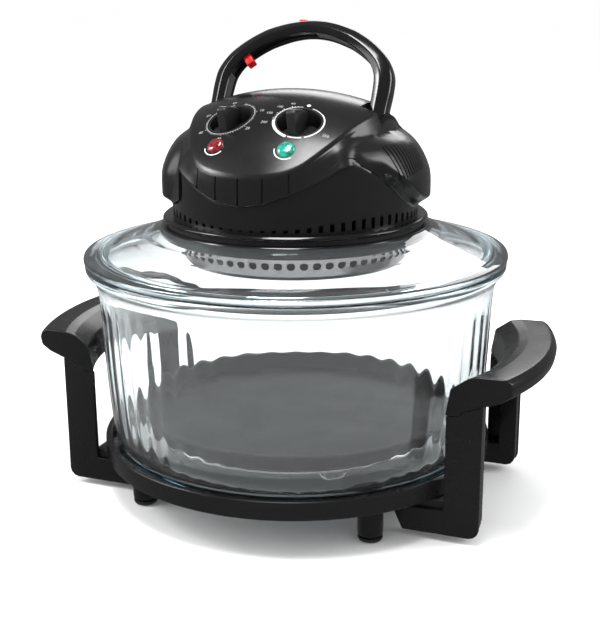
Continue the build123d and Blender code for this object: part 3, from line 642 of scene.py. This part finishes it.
def surface(t, z):
    """point and outward direction on the side of the shell"""
    a = abs(t)
    rc = crease_r(a)
    ang = math.radians(a)
    zc = crown(rc * math.sin(ang), -rc * math.cos(ang)) - 1.4
    ze, re, rise = edge_at(t), edge_r(a), rise_at(t)

    def P(tt, zz):
        return Vector(polar(side_r(abs(tt), zz, crease_r(abs(tt)), zc, re, ze, rise), tt, zz))
    p = P(t, z)
    u = P(t + 0.5, z) - P(t - 0.5, z)
    v = P(t, z + 0.5) - P(t, z - 0.5)
    n = u.cross(v).normalized()
    if n.x * p.x + n.y * p.y < 0:
        n = -n
    return p, n


def panel(x, y):
    """point, outward normal, across and up directions of the panel surface, head frame turned into the row frame"""
    e = 0.05
    gx = (crown(x + e, y) - crown(x - e, y)) / (2 * e)
    gy = (crown(x, y + e) - crown(x, y - e)) / (2 * e)
    n = Vector(hp(-gx, -gy, 1.0)).normalized()
    u = Vector(hp(1.0, 0.0, gx)).normalized()
    return Vector(hp(x, y, crown(x, y))), n, u, n.cross(u)


cut_v, cut_f = [], []


def cutter_add(verts, faces):
    base = len(cut_v)
    cut_v.extend(tuple(v) for v in verts)
    cut_f.extend(tuple(base + i for i in f) for f in faces)


def cylinder(p, n, u, w, r, d0, d1, count=64):
    vs = []
    for d in (d0, d1):
        for k in range(count):
            a = 2 * math.pi * k / count
            vs.append(p + n * d + u * (r * math.cos(a)) + w * (r * math.sin(a)))
    fs = [tuple(range(count)), tuple(range(2 * count - 1, count - 1, -1))]
    fs += [(k, (k + 1) % count, count + (k + 1) % count, count + k) for k in range(count)]
    return vs, fs


def box_hp(x0, x1, y0, y1, z0, z1):
    vs = [hp(x, y, z) for z in (z0, z1) for x, y in ((x0, y0), (x1, y0), (x1, y1), (x0, y1))]
    fs = [(0, 1, 2, 3), (7, 6, 5, 4), (0, 1, 5, 4), (1, 2, 6, 5), (2, 3, 7, 6), (3, 0, 4, 7)]
    return vs, fs


DIALS = {"timer": (-28.0, -54.2), "temperature": (28.0, -54.2)}
LAMPS = {"power": (-28.4, -77.1), "heat": (28.4, -77.1)}
DIAL_TILT = math.radians(14.0)
DIAL_FLAT, DIAL_BACK = 0.89, 0.9              # the openings are a little shorter front to back, and set rearwards


def dial_frame(name):
    x, y = DIALS[name]
    p = Vector(hp(x, y, crown(x, y)))
    n = Vector(hp(0.0, -math.sin(DIAL_TILT), math.cos(DIAL_TILT)))
    u = Vector(hp(1.0, 0.0, 0.0))
    return p, n, u, n.cross(u)


def to_head(v):
    return v.x * CT + v.y * ST, -v.x * ST + v.y * CT, v.z


def on_cover(name, a, b, lift):
    """the point (a, b) of a dial's plane carried along its axis to the cover's surface"""
    p, n, u, w = dial_frame(name)
    q = p + u * a + w * b
    for _ in range(12):
        x, y, z = to_head(q)
        q = q + n * ((crown(x, y) - z) * 0.9)
    return tuple(q + n * lift)


for name in DIALS:
    p, n, u, w = dial_frame(name)
    cutter_add(*cylinder(p + w * DIAL_BACK, n, u, w * DIAL_FLAT, 17.3, -13.0, 14.0, 72))
for x, y in LAMPS.values():
    p, n, u, w = panel(x, y)
    cutter_add(*cylinder(p, n, u, w, 6.9, -8.0, 8.0, 40))


def groove(path, width, depth, above=1.2):
    """a narrow cut that follows the surface through path, a list of (angle, height)"""
    vs, fs = [], []
    frames = [surface(t, z) for t, z in path]
    for i, (p, n) in enumerate(frames):
        q = frames[min(i + 1, len(frames) - 1)][0] - frames[max(i - 1, 0)][0]
        s = q.cross(n).normalized() * (width / 2)
        vs += [p + n * above + s, p + n * above - s, p - n * depth - s * 0.8, p - n * depth + s * 0.8]
    for i in range(len(frames) - 1):
        for k in range(4):
            m = (k + 1) % 4
            fs.append((4 * i + k, 4 * i + m, 4 * i + 4 + m, 4 * i + 4 + k))
    fs += [(0, 1, 2, 3), tuple(4 * (len(frames) - 1) + k for k in (3, 2, 1, 0))]
    return vs, fs


def lip_top(t):
    a = math.radians(abs(t))
    rc = crease_r(abs(t))
    return crown(rc * math.sin(a), -rc * math.cos(a)) - 1.4


for t in (-22.0, -11.0, 0.0, 11.0, 22.0):
    z0, z1 = edge_z(abs(t)) + 1.6, lip_top(t) + 0.4
    cutter_add(*groove([(t, z0 + (z1 - z0) * k / 8) for k in range(9)], 1.2, 1.5))
    p, n = surface(t, z0 + 0.6)
    u = n.orthogonal().normalized()
    cutter_add(*cylinder(p, n, u, n.cross(u), 1.05, -1.6, 1.2, 14))

# slanted cooling fins on both ears
for sx in (-1, 1):
    for k in range(11):
        f = k / 10.0
        t0, z0 = 68.5 + 26.0 * f, 283.5 + 2.0 * f
        t1, z1 = 72.5 + 18.5 * f, 259.5 + 5.0 * f
        path = [(sx * (t0 + (t1 - t0) * j / 10), z0 + (z1 - z0) * j / 10) for j in range(11)]
        cutter_add(*groove(path, 1.3, 2.1))

POCKETS = ((-76.0, -60.5), (60.5, 76.0))
for x0, x1 in POCKETS:
    cutter_add(*box_hp(x0, x1, -14.4, 70.0, 276.5, 335.0))
cutter_add(*box_hp(-14.0, 14.0, 90.0, 118.0, 237.0, 257.0))

shell = shell_mesh("head_top_shell", 0.0, 2.4, HEAD)
cutters = make("cutters", cut_v, cut_f, DARK_PLASTIC_AND_RECESS_SHADE, None)
cut(shell, cutters)
drop(cutters)
finish_piece(shell, HEAD, "lid", 34, ["panel_cover"])

# liners of the two recesses that the handle's legs stand in, made in the darker plastic as painted shade inside the
# pockets
block = solid_mesh("handle_pockets")
cut_v, cut_f = [], []
for x0, x1 in POCKETS:
    cutter_add(*box_hp(x0 - 1.9, x1 + 1.9, -16.3, 71.0, 274.6, 336.0))
big_boxes = make("big_boxes", cut_v, cut_f, DARK_PLASTIC_AND_RECESS_SHADE, None)
cut_v, cut_f = [], []
for x0, x1 in POCKETS:
    cutter_add(*box_hp(x0, x1, -14.4, 90.0, 276.5, 340.0))
boxes = make("boxes", cut_v, cut_f, DARK_PLASTIC_AND_RECESS_SHADE, None)
cut(block, big_boxes, "INTERSECT")
cut(block, boxes)
drop(big_boxes)
drop(boxes)
finish_piece(block, DARK_PLASTIC_AND_RECESS_SHADE, "lid", 34, ["panel_cover"])

# ------------------------------------------------------------------ head: lower body with its air slots
slot_top = soft_table([0, 6, 13, 20, 30, 39.5, 55, 74, 90, 180], [1.2, 1.4, 2.0, 2.6, 4.2, 6.0, 8.0, 8.0, 5.2, 5.2], 2.0)
body_profile_z = [224.6, 225.9, 226.5, 226.9, 227.2]


def body_r(t, z):
    ze = edge_at(t)
    r = 96.5 + 0.45 * smooth01((z - 226) / 14)
    inside = edge_r(abs(t)) - 2.6
    start = 1.5 * (1 - smooth01((abs(t) - 42) / 6))
    r += (min(r, inside) - r) * smooth01((z - ze + start) / 1.5)
    return r


offsets = [(-1.7, 0.55), (-1.1, 0.14), (0.0, 0.0), (1.1, 0.14), (1.7, 0.55), (2.9, 0.3), (5.5, 0.3)]
PERIOD_MM = 96.5 * math.radians(5.0)
col_t, col_lift, col_kind = [], [], []
for k in range(72):
    for j, (o, lift) in enumerate(offsets):
        tt = 5.0 * k + 0.5 + o / PERIOD_MM * 5.0
        tt = (tt + 180) % 360 - 180
        col_t.append(tt)
        col_lift.append(lift)
        col_kind.append(j)
verts, faces = [], []
ZROWS = 20
for t, lift in zip(col_t, col_lift):
    bottom = 225.7 + lift
    top = 225.7 + slot_top(abs(t)) - lift * 0.5
    ze = edge_at(t)
    zs = [224.6, 225.1, bottom, max(bottom + 0.3, top)]
    top_end = ze + 5.0
    z_a = zs[-1]
    zs += [z_a + (top_end - z_a) * f for f in np.linspace(0, 1, ZROWS)[1:]]
    cleft = 1.9 if abs(t + 37.78) < 0.2 else 0.0
    for z in zs:
        verts.append(polar(body_r(t, z) - cleft * smooth01((z - 238) / 1.5) * smooth01((267.5 - z) / 1.5), t, z))
rows = 4 + ZROWS - 1
count = len(col_t)
for k in range(count):
    m = (k + 1) % count
    for i in range(rows - 1):
        if i == 2 and col_kind[k] in (0, 1, 2, 3):
            continue
        faces.append((k * rows + i, m * rows + i, m * rows + i + 1, k * rows + i + 1))
body = make("head_body_shell", verts, faces, HEAD, None, 40)
m = body.modifiers.new("thick", "SOLIDIFY")
m.thickness = 2.4 * MM
m.offset = -1.0
m.use_even_offset = False
bake(body)
finish_piece(body, HEAD, "lid", 40, ["head_housing"])

# ------------------------------------------------------------------ dials
N = 72
for name in DIALS:
    p, n, u, w = dial_frame(name)

    def at(a, b, c, p=p, n=n, u=u, w=w):
        return tuple(p + u * a + w * b + n * c)

    def oval(r, a):
        return r * math.cos(a), r * math.sin(a) * DIAL_FLAT + DIAL_BACK
    # the recess that the dial turns in, its rim following the cover, made in the darker plastic as painted shade
    verts = []
    for r, z in ((0.001, -9.8), (15.6, -9.8), (16.1, -9.3), (16.3, -8.6)):
        for k in range(N):
            verts.append(at(*oval(r, 2 * math.pi * k / N), z))
    for r, lift in ((16.3, -0.5), (16.5, -0.1), (16.8, 0.10), (17.2, 0.12), (17.5, 0.05), (17.5, -1.2)):
        for k in range(N):
            verts.append(on_cover(name, *oval(r, 2 * math.pi * k / N), lift))
    for r, z in ((17.2, -11.0), (16.6, -11.8), (0.001, -11.8)):
        for k in range(N):
            verts.append(at(*oval(r, 2 * math.pi * k / N), z))
    make(name + "_recess", verts, ring_faces(13, N, False), DARK_PLASTIC_AND_RECESS_SHADE, "lid", 34, [name + "_dish"])
    disc = [(0.001, -9.3), (13.0, -9.3), (13.4, -8.9), (13.4, -8.3), (12.9, -7.8), (10.0, -7.4), (0.001, -7.0)]
    verts = []
    for r, z in disc:
        for k in range(N):
            a = 2 * math.pi * k / N
            verts.append(at(r * math.cos(a), r * math.sin(a), z))
    make(name + "_knob_disc", verts, ring_faces(len(disc), N, False), KNOB, name + "_dial", 34, [name + "_knob"])
    bar = [(-13.0, -8.6), (-13.0, 10.0), (-12.5, 11.1), (-11.3, 12.0), (-9.6, 12.4), (-7.6, 12.1), (-3.0, 10.6), (2.0, 8.6), (6.5, 6.4),
           (9.4, 4.8), (12.2, 3.0), (13.3, 1.4), (13.3, -8.6)]
    prism(name + "_knob_bar", bar, lambda a, b, d, at=at: at(d * (1.0 - 0.24 * max(0.0, a) / 14.0), a, b), -3.35, 3.35, KNOB, name + "_dial", 0.6, [name + "_knob"])


def flat_strip(points, deep):
    """closed thin solid under a strip of point pairs; deep is the direction and length it goes down"""
    m = len(points)
    verts = list(points) + [tuple(Vector(v) - deep) for v in points]
    half = m // 2
    faces = []
    for i in range(half - 1):
        faces.append((2 * i, 2 * i + 1, 2 * i + 3, 2 * i + 2))
        faces.append((m + 2 * i + 2, m + 2 * i + 3, m + 2 * i + 1, m + 2 * i))
        faces.append((2 * i, 2 * i + 2, m + 2 * i + 2, m + 2 * i))
        faces.append((2 * i + 3, 2 * i + 1, m + 2 * i + 1, m + 2 * i + 3))
    faces.append((0, m, m + 1, 1))
    faces.append((2 * half - 2, 2 * half - 1, m + 2 * half - 1, m + 2 * half - 2))
    return verts, faces


def dial_arc(name, r0, r1, a0, a1, lift=0.12, steps=None):
    """printed arc round a dial; angles from its rear edge, clockwise from above, in degrees"""
    steps = steps or max(3, int(abs(a1 - a0) / 3))
    pts = []
    for i in range(steps + 1):
        a = math.radians(a0 + (a1 - a0) * i / steps)
        for r in (r0, r1):
            pts.append(on_cover(name, r * math.sin(a), r * math.cos(a) * DIAL_FLAT + DIAL_BACK, lift))
    return flat_strip(pts, dial_frame(name)[1] * 0.1)


def cover_arc(cx, cy, r0, r1, a0, a1, lift=0.10):
    p, n, u, w = panel(cx, cy)
    pts = []
    steps = max(3, int(abs(a1 - a0) / 5))
    for i in range(steps + 1):
        a = math.radians(a0 + (a1 - a0) * i / steps)
        for r in (r0, r1):
            x, y, z = to_head(p + u * (r * math.sin(a)) + w * (r * math.cos(a)))
            pts.append(tuple(Vector(hp(x, y, crown(x, y))) + n * lift))
    return flat_strip(pts, n * 0.1)


def merge(name, parts, material, body, nodes=()):
    vs, fs = [], []
    for v, f in parts:
        base = len(vs)
        vs += v
        fs += [tuple(base + i for i in q) for q in f]
    return make(name, vs, fs, material, body, 30, nodes)


def dial_text(name, string, r, ang, size):
    """digits printed on the cover beside a dial, upright"""
    cu = bpy.data.curves.new("t", "FONT")
    cu.body = string
    cu.size = size
    cu.align_x = "CENTER"
    cu.align_y = "CENTER"
    cu.resolution_u = 2
    cu.extrude = 0.05
    ob = bpy.data.objects.new("t", cu)
    bpy.context.scene.collection.objects.link(ob)
    bpy.context.view_layer.update()
    me = bpy.data.meshes.new_from_object(ob.evaluated_get(bpy.context.evaluated_depsgraph_get()))
    a = math.radians(ang)
    ox, oy = r * math.sin(a), r * math.cos(a) * DIAL_FLAT + DIAL_BACK
    vs = [on_cover(name, ox + v.co.x, oy + v.co.y, 0.12 + v.co.z) for v in me.vertices]
    fs = [tuple(f.vertices) for f in me.polygons]
    bpy.data.objects.remove(ob)
    bpy.data.curves.remove(cu)
    bpy.data.meshes.remove(me)
    return vs, fs


# timer: a fine ring with a tick for every minute step
parts = [dial_arc("timer", 18.7, 19.05, 12, 348)]
for k in range(61):
    a = 15 + 5.5 * k
    parts.append(dial_arc("timer", 19.1, 21.0 if k % 10 == 0 else (20.5 if k % 5 == 0 else 20.0), a - 0.55, a + 0.55, steps=1))
merge("timer_scale", parts, PRINT_DIM, "lid")
merge("timer_numbers", [dial_text("timer", t, 24.4, 15 + 55 * (k + 1), 3.6) for k, t in enumerate(("10", "20", "30", "40", "50", "60"))],
      PRINT_DIM, "lid")
# temperature: a broad band that thins out, ticks for the low end, and a dot at off
parts = [dial_arc("temperature", 18.3, 19.3, 48, 150), dial_arc("temperature", 18.2, 19.3, 156, 188), dial_arc("temperature", 18.1, 20.2, 192, 262)]
for k in range(12):
    a = 268 + 6.4 * k
    parts.append(dial_arc("temperature", 18.6, 20.8 if k % 3 == 0 else 19.8, a - 0.7, a + 0.7, steps=1))
parts.append(dial_arc("temperature", 18.3, 18.7, 262, 350))
parts.append(dial_arc("temperature", 18.3, 18.9, 14, 48))
dot = []
for i in range(17):
    a = 2 * math.pi * i / 16
    for r in (0.0, 1.5):
        dot.append(on_cover("temperature", r * math.cos(a), 20.4 + r * math.sin(a), 0.14))
parts.append(flat_strip(dot, dial_frame("temperature")[1] * 0.1))
merge("temperature_scale", parts, PRINT, "lid")
merge("temperature_numbers", [dial_text("temperature", t, r, a, 3.4) for t, r, a in
                              (("60", 24.8, 330), ("100", 25.6, 306), ("150", 26.2, 282), ("200", 26.4, 256), ("250", 25.6, 112))], PRINT_DIM, "lid")

for name, (x, y) in LAMPS.items():
    merge(name + "_arc", [cover_arc(x, y, 8.2, 9.0, 132, 262)], PRINT, "lid")
    p, n, u, w = panel(x, y)
    dome = [(0.001, -5.0), (6.75, -5.0), (6.8, -0.3), (6.6, 0.6), (6.1, 1.35), (5.2, 2.0), (4.0, 2.38), (2.2, 2.56), (0.001, 2.6)]
    verts = []
    for r, z in dome:
        for k in range(48):
            a = 2 * math.pi * k / 48
            verts.append(tuple(p + u * (r * math.cos(a)) + w * (r * math.sin(a)) + n * z))
    make(name + "_jewel", verts, ring_faces(len(dome), 48, False), RED_JEWEL if name == "power" else GREEN_JEWEL, "lid", 60,
         [name + "_lens"])

# ------------------------------------------------------------------ carrying handle
LEAN = math.radians(27.83)


def arch(u, v, s):
    """handle plane: u across, v up the arch, s towards the front, millimetres from the pivot"""
    y = -5.8 + v * math.sin(LEAN) - s * math.cos(LEAN)
    z = 286.0 + v * math.cos(LEAN) + s * math.sin(LEAN)
    return hp(u, y, z)


outer_half = [(74.4, 0.0), (74.4, 12.0), (74.5, 24.0), (75.0, 38.0), (73.6, 51.0), (67.2, 62.9), (59.3, 71.0), (51.2, 77.2), (43.1, 82.2), (34.8, 86.2),
              (17.9, 91.4), (0.0, 93.3)]
inner_half = [(62.0, 0.0), (62.0, 12.0), (62.0, 23.0), (61.8, 36.0), (60.7, 46.8), (57.1, 54.8), (51.8, 61.0), (45.0, 66.6), (37.5, 71.5), (29.6, 75.4),
              (14.9, 80.4), (0.0, 82.2)]
outer_full = outer_half + [(-x, y) for x, y in outer_half[-2::-1]]
inner_full = inner_half + [(-x, y) for x, y in inner_half[-2::-1]]


def catmull(points, per=6):
    out = []
    P = [Vector((*p, 0)) for p in points]
    for i in range(len(P) - 1):
        a, b, c, d = P[max(i - 1, 0)], P[i], P[i + 1], P[min(i + 2, len(P) - 1)]
        for k in range(per):
            t = k / per
            out.append(0.5 * (2 * b + (c - a) * t + (2 * a - 5 * b + 4 * c - d) * t * t + (3 * b - 3 * c + d - a) * t ** 3))
    out.append(P[-1])
    return [(v.x, v.y) for v in out]


oc, ic = catmull(outer_full), catmull(inner_full)
# section, from the inner face round the front to the outer face and back: (share of thickness, depth)
section = [(0.16, 4.6), (0.01, 5.0), (0.0, 5.6), (0.02, 6.2), (0.06, 6.6), (0.12, 6.95), (0.25, 7.55), (0.36, 8.0), (0.40, 8.08), (0.44, 8.0), (0.52, 7.6),
           (0.66, 6.7), (0.80, 5.7), (0.91, 4.7), (0.98, 3.6), (1.02, 2.2), (1.03, 0.8), (1.03, -4.6), (1.0, -6.4), (0.91, -7.6), (0.76, -8.0), (0.14, -8.0),
           (0.04, -7.8), (0.0, -7.3), (0.0, -6.0), (0.02, -5.2), (0.16, -4.6)]
rings = []
hub = 8.0


def ring_at(o, i, scale=1.0, shift=0.0):
    pts = []
    for f, s in section:
        pts.append((i[0] + (o[0] - i[0]) * f, i[1] + (o[1] - i[1]) * f + shift, s * scale))
    return pts


for k in range(7, 0, -1):
    d = hub * math.sin(math.pi / 2 * k / 7.3)
    rings.append([(a, -d, s) for a, b, s in ring_at(oc[0], ic[0], math.sqrt(max(0.0, 1 - (d / hub) ** 2)))])
for o, i in zip(oc, ic):
    rings.append(ring_at(o, i))
for k in range(1, 8):
    d = hub * math.sin(math.pi / 2 * k / 7.3)
    rings.append([(a, -d, s) for a, b, s in ring_at(oc[-1], ic[-1], math.sqrt(max(0.0, 1 - (d / hub) ** 2)))])
S = len(section)
verts = [arch(*q) for r in rings for q in r]
faces = [(i * S + k, i * S + (k + 1) % S, (i + 1) * S + (k + 1) % S, (i + 1) * S + k) for i in range(len(rings) - 1) for k in range(S)]
faces += [tuple(range(S)), tuple(range(len(rings) * S - 1, (len(rings) - 1) * S - 1, -1))]
make("carry_handle_shell", verts, faces, HANDLE, "handle", 26, ["carry_handle"])

# lighter inlay along the inner channel of the grip
def inlay(name, i0, i1, material):
    verts, faces = [], []
    idx = list(range(i0, i1 + 1))
    for k in idx:
        o, i = oc[k], ic[k]
        for f, s in ((0.05, 4.5), (0.05, -4.5), (0.155, -4.5), (0.155, 4.5)):
            verts.append(arch(i[0] + (o[0] - i[0]) * f, i[1] + (o[1] - i[1]) * f, s))
    for k in range(len(idx) - 1):
        for j in range(4):
            m = (j + 1) % 4
            faces.append((4 * k + j, 4 * k + m, 4 * k + 4 + m, 4 * k + 4 + j))
    faces += [(0, 1, 2, 3), tuple(4 * (len(idx) - 1) + q for q in (3, 2, 1, 0))]
    return make(name, verts, faces, material, "handle", 30, ())


NP = len(oc)
inlay("grip_inlay_right", 4, NP // 2 - 2, GREY)
inlay("grip_inlay_left", NP - 1 - 24, NP - 1 - 4, GREY)

# red lever under the arch and red button on top
ld = (Vector((0.631, -0.775)).normalized())


def lever_pt(a, b, c):
    """a across the depth of the handle, b along the arch, c out of it"""
    o = Vector((-50.8, 61.3)) + ld * c + Vector((ld.y, -ld.x)) * b
    return arch(o.x, o.y, a)


prism("lock_lever_shell", [(-4.0, -4.0), (4.0, -4.0), (4.0, 4.0), (-4.0, 4.0)], lambda a, b, d: lever_pt(a * 0.95, b * 0.82, d), -3.8, 7.0, RED, "lever", 0.8,
      ["lock_lever"])
prism("release_button_shell", [(-3.4, -3.4), (3.4, -3.4), (3.4, 3.8), (-3.4, 3.8)], lambda a, b, d: arch(-8.2 + a, 91.4 + d, -0.4 + b), -3.6, 2.8, RED,
      "button", 0.7, ["release_button"])

# ------------------------------------------------------------------ CAD nodes that are shown as they are
# the reflector gets the dark steel as painted shade inside the head
LOOK = {
    "stand_screws": PLAIN, "lid_gasket": RUBBER, "guard_ring": STEEL, "guard_grille": DARK_METAL_AND_SHADE, "reflector": DARK_METAL_AND_SHADE, "heat_shield": BRIGHT,
    "heater_tube": QUARTZ, "heater_caps": CERAMIC, "heater_clips": PLAIN, "fan_shaft": PLAIN, "circulation_fan": DARK_METAL_AND_SHADE, "cooling_fan": BRIGHT,
    "fan_motor": PLAIN, "motor_bracket": PLAIN, "terminal_block": DARK_PLASTIC_AND_RECESS_SHADE, "thermal_cutout": PLAIN, "flange_screws": PLAIN, "inlet_socket": DARK_PLASTIC_AND_RECESS_SHADE,
    "inlet_pins": BRASS, "timer_dish": GLOSS, "temperature_dish": GLOSS, "timer_shaft": PLAIN, "temperature_shaft": PLAIN, "timer_unit": DARK_PLASTIC_AND_RECESS_SHADE,
    "temperature_unit": DARK_PLASTIC_AND_RECESS_SHADE, "power_lamp": BRIGHT, "heat_lamp": BRIGHT, "lock_spring": CHROME, "button_spring": CHROME, "pivot_pins": PLAIN,
    "switch_plunger": WHITE, "safety_switch": DARK_PLASTIC_AND_RECESS_SHADE,
}
for name, o in NODES.items():
    if o.hide_render:
        continue
    mat = LOOK.get(name, DARK_PLASTIC_AND_RECESS_SHADE)
    o.data.materials.clear()
    o.data.materials.append(mat)
    shade(o.data, 30)

# ------------------------------------------------------------------ floor, light, camera
floor_me = bpy.data.meshes.new("floor")
R = 300.0
floor_me.from_pydata([(R * math.cos(2 * math.pi * k / 96), R * math.sin(2 * math.pi * k / 96), -0.0006) for k in range(96)], [], [tuple(range(96))])
floor = bpy.data.objects.new("floor", floor_me)
bpy.context.scene.collection.objects.link(floor)
fm, nt, sh, co, _ = base_material("pale_floor")
fn = noise(nt, co, 3.0, 3.0)
nt.links.new(blend_colour(nt, fn.outputs["Fac"], (0.88, 0.88, 0.88), (0.90, 0.90, 0.90)), sh.inputs["Base Color"])
nt.links.new(span(nt, fn.outputs["Fac"], 0.55, 0.65), sh.inputs["Roughness"])
sh.inputs["Specular IOR Level"].default_value = 0.0
sh.inputs["IOR"].default_value = 1.0
floor_me.materials.append(fm)
floor.visible_glossy = False

world = bpy.data.worlds.new("studio")
bpy.context.scene.world = world
world.use_nodes = True
wn = world.node_tree
wn.nodes.clear()
wo = wn.nodes.new("ShaderNodeOutputWorld")
seen = wn.nodes.new("ShaderNodeBackground")
seen.inputs["Color"].default_value = (1, 1, 1, 1)
seen.inputs["Strength"].default_value = 1.12
mirrored = wn.nodes.new("ShaderNodeBackground")
mirrored.inputs["Color"].default_value = (1, 1, 1, 1)
mirrored.inputs["Strength"].default_value = 0.20
lp = wn.nodes.new("ShaderNodeLightPath")
mx = wn.nodes.new("ShaderNodeMixShader")
wn.links.new(lp.outputs["Is Glossy Ray"], mx.inputs["Fac"])
wn.links.new(seen.outputs["Background"], mx.inputs[1])
wn.links.new(mirrored.outputs["Background"], mx.inputs[2])
wn.links.new(mx.outputs["Shader"], wo.inputs["Surface"])


def area(name, place, target, size, power, size_y=None):
    li = bpy.data.lights.new(name, "AREA")
    li.energy = power
    li.size = size
    if size_y:
        li.shape = "RECTANGLE"
        li.size_y = size_y
    ob = bpy.data.objects.new(name, li)
    bpy.context.scene.collection.objects.link(ob)
    ob.location = place
    ob.rotation_mode = "QUATERNION"
    ob.rotation_quaternion = (Vector(target) - Vector(place)).to_track_quat("-Z", "Y")
    return ob


area("top_softbox", (-0.02, -0.34, 1.75), (0, 0, 0.2), 0.55, 24, 0.7)
area("strip_light", (-1.37, -0.55, 1.43), (0, 0, 0.33), 0.38, 11, 0.5)
area("left_softbox", (-1.7, -0.7, 1.0), (0, 0, 0.2), 1.1, 18, 1.3)
area("right_softbox", (1.6, 0.5, 1.1), (0, 0, 0.25), 0.6, 16, 1.2)
area("back_softbox", (-0.3, 1.9, 1.3), (0, 0, 0.2), 1.6, 16, 0.8)

cam_data = bpy.data.cameras.new("camera")
cam = bpy.data.objects.new("camera", cam_data)
bpy.context.scene.collection.objects.link(cam)
cam_data.sensor_width = 36.0
cam_data.lens = 1143.3686 * 36.0 / 617.0
cam_data.shift_x = 3.83 / 617.0
cam_data.clip_start, cam_data.clip_end = 0.05, 1000.0
cam_data.dof.use_dof = False
right = Vector((0.933736, 0.357898, -0.006748)).normalized()
fwd = Vector((-0.346631, 0.899314, -0.266612)).normalized()
up = right.cross(fwd).normalized()
cam.matrix_world = Matrix(((right.x, up.x, -fwd.x, 0.321728), (right.y, up.y, -fwd.y, -0.834703), (right.z, up.z, -fwd.z, 0.391420), (0, 0, 0, 1)))
bpy.context.scene.camera = cam
bpy.context.scene.view_settings.view_transform = "Standard"
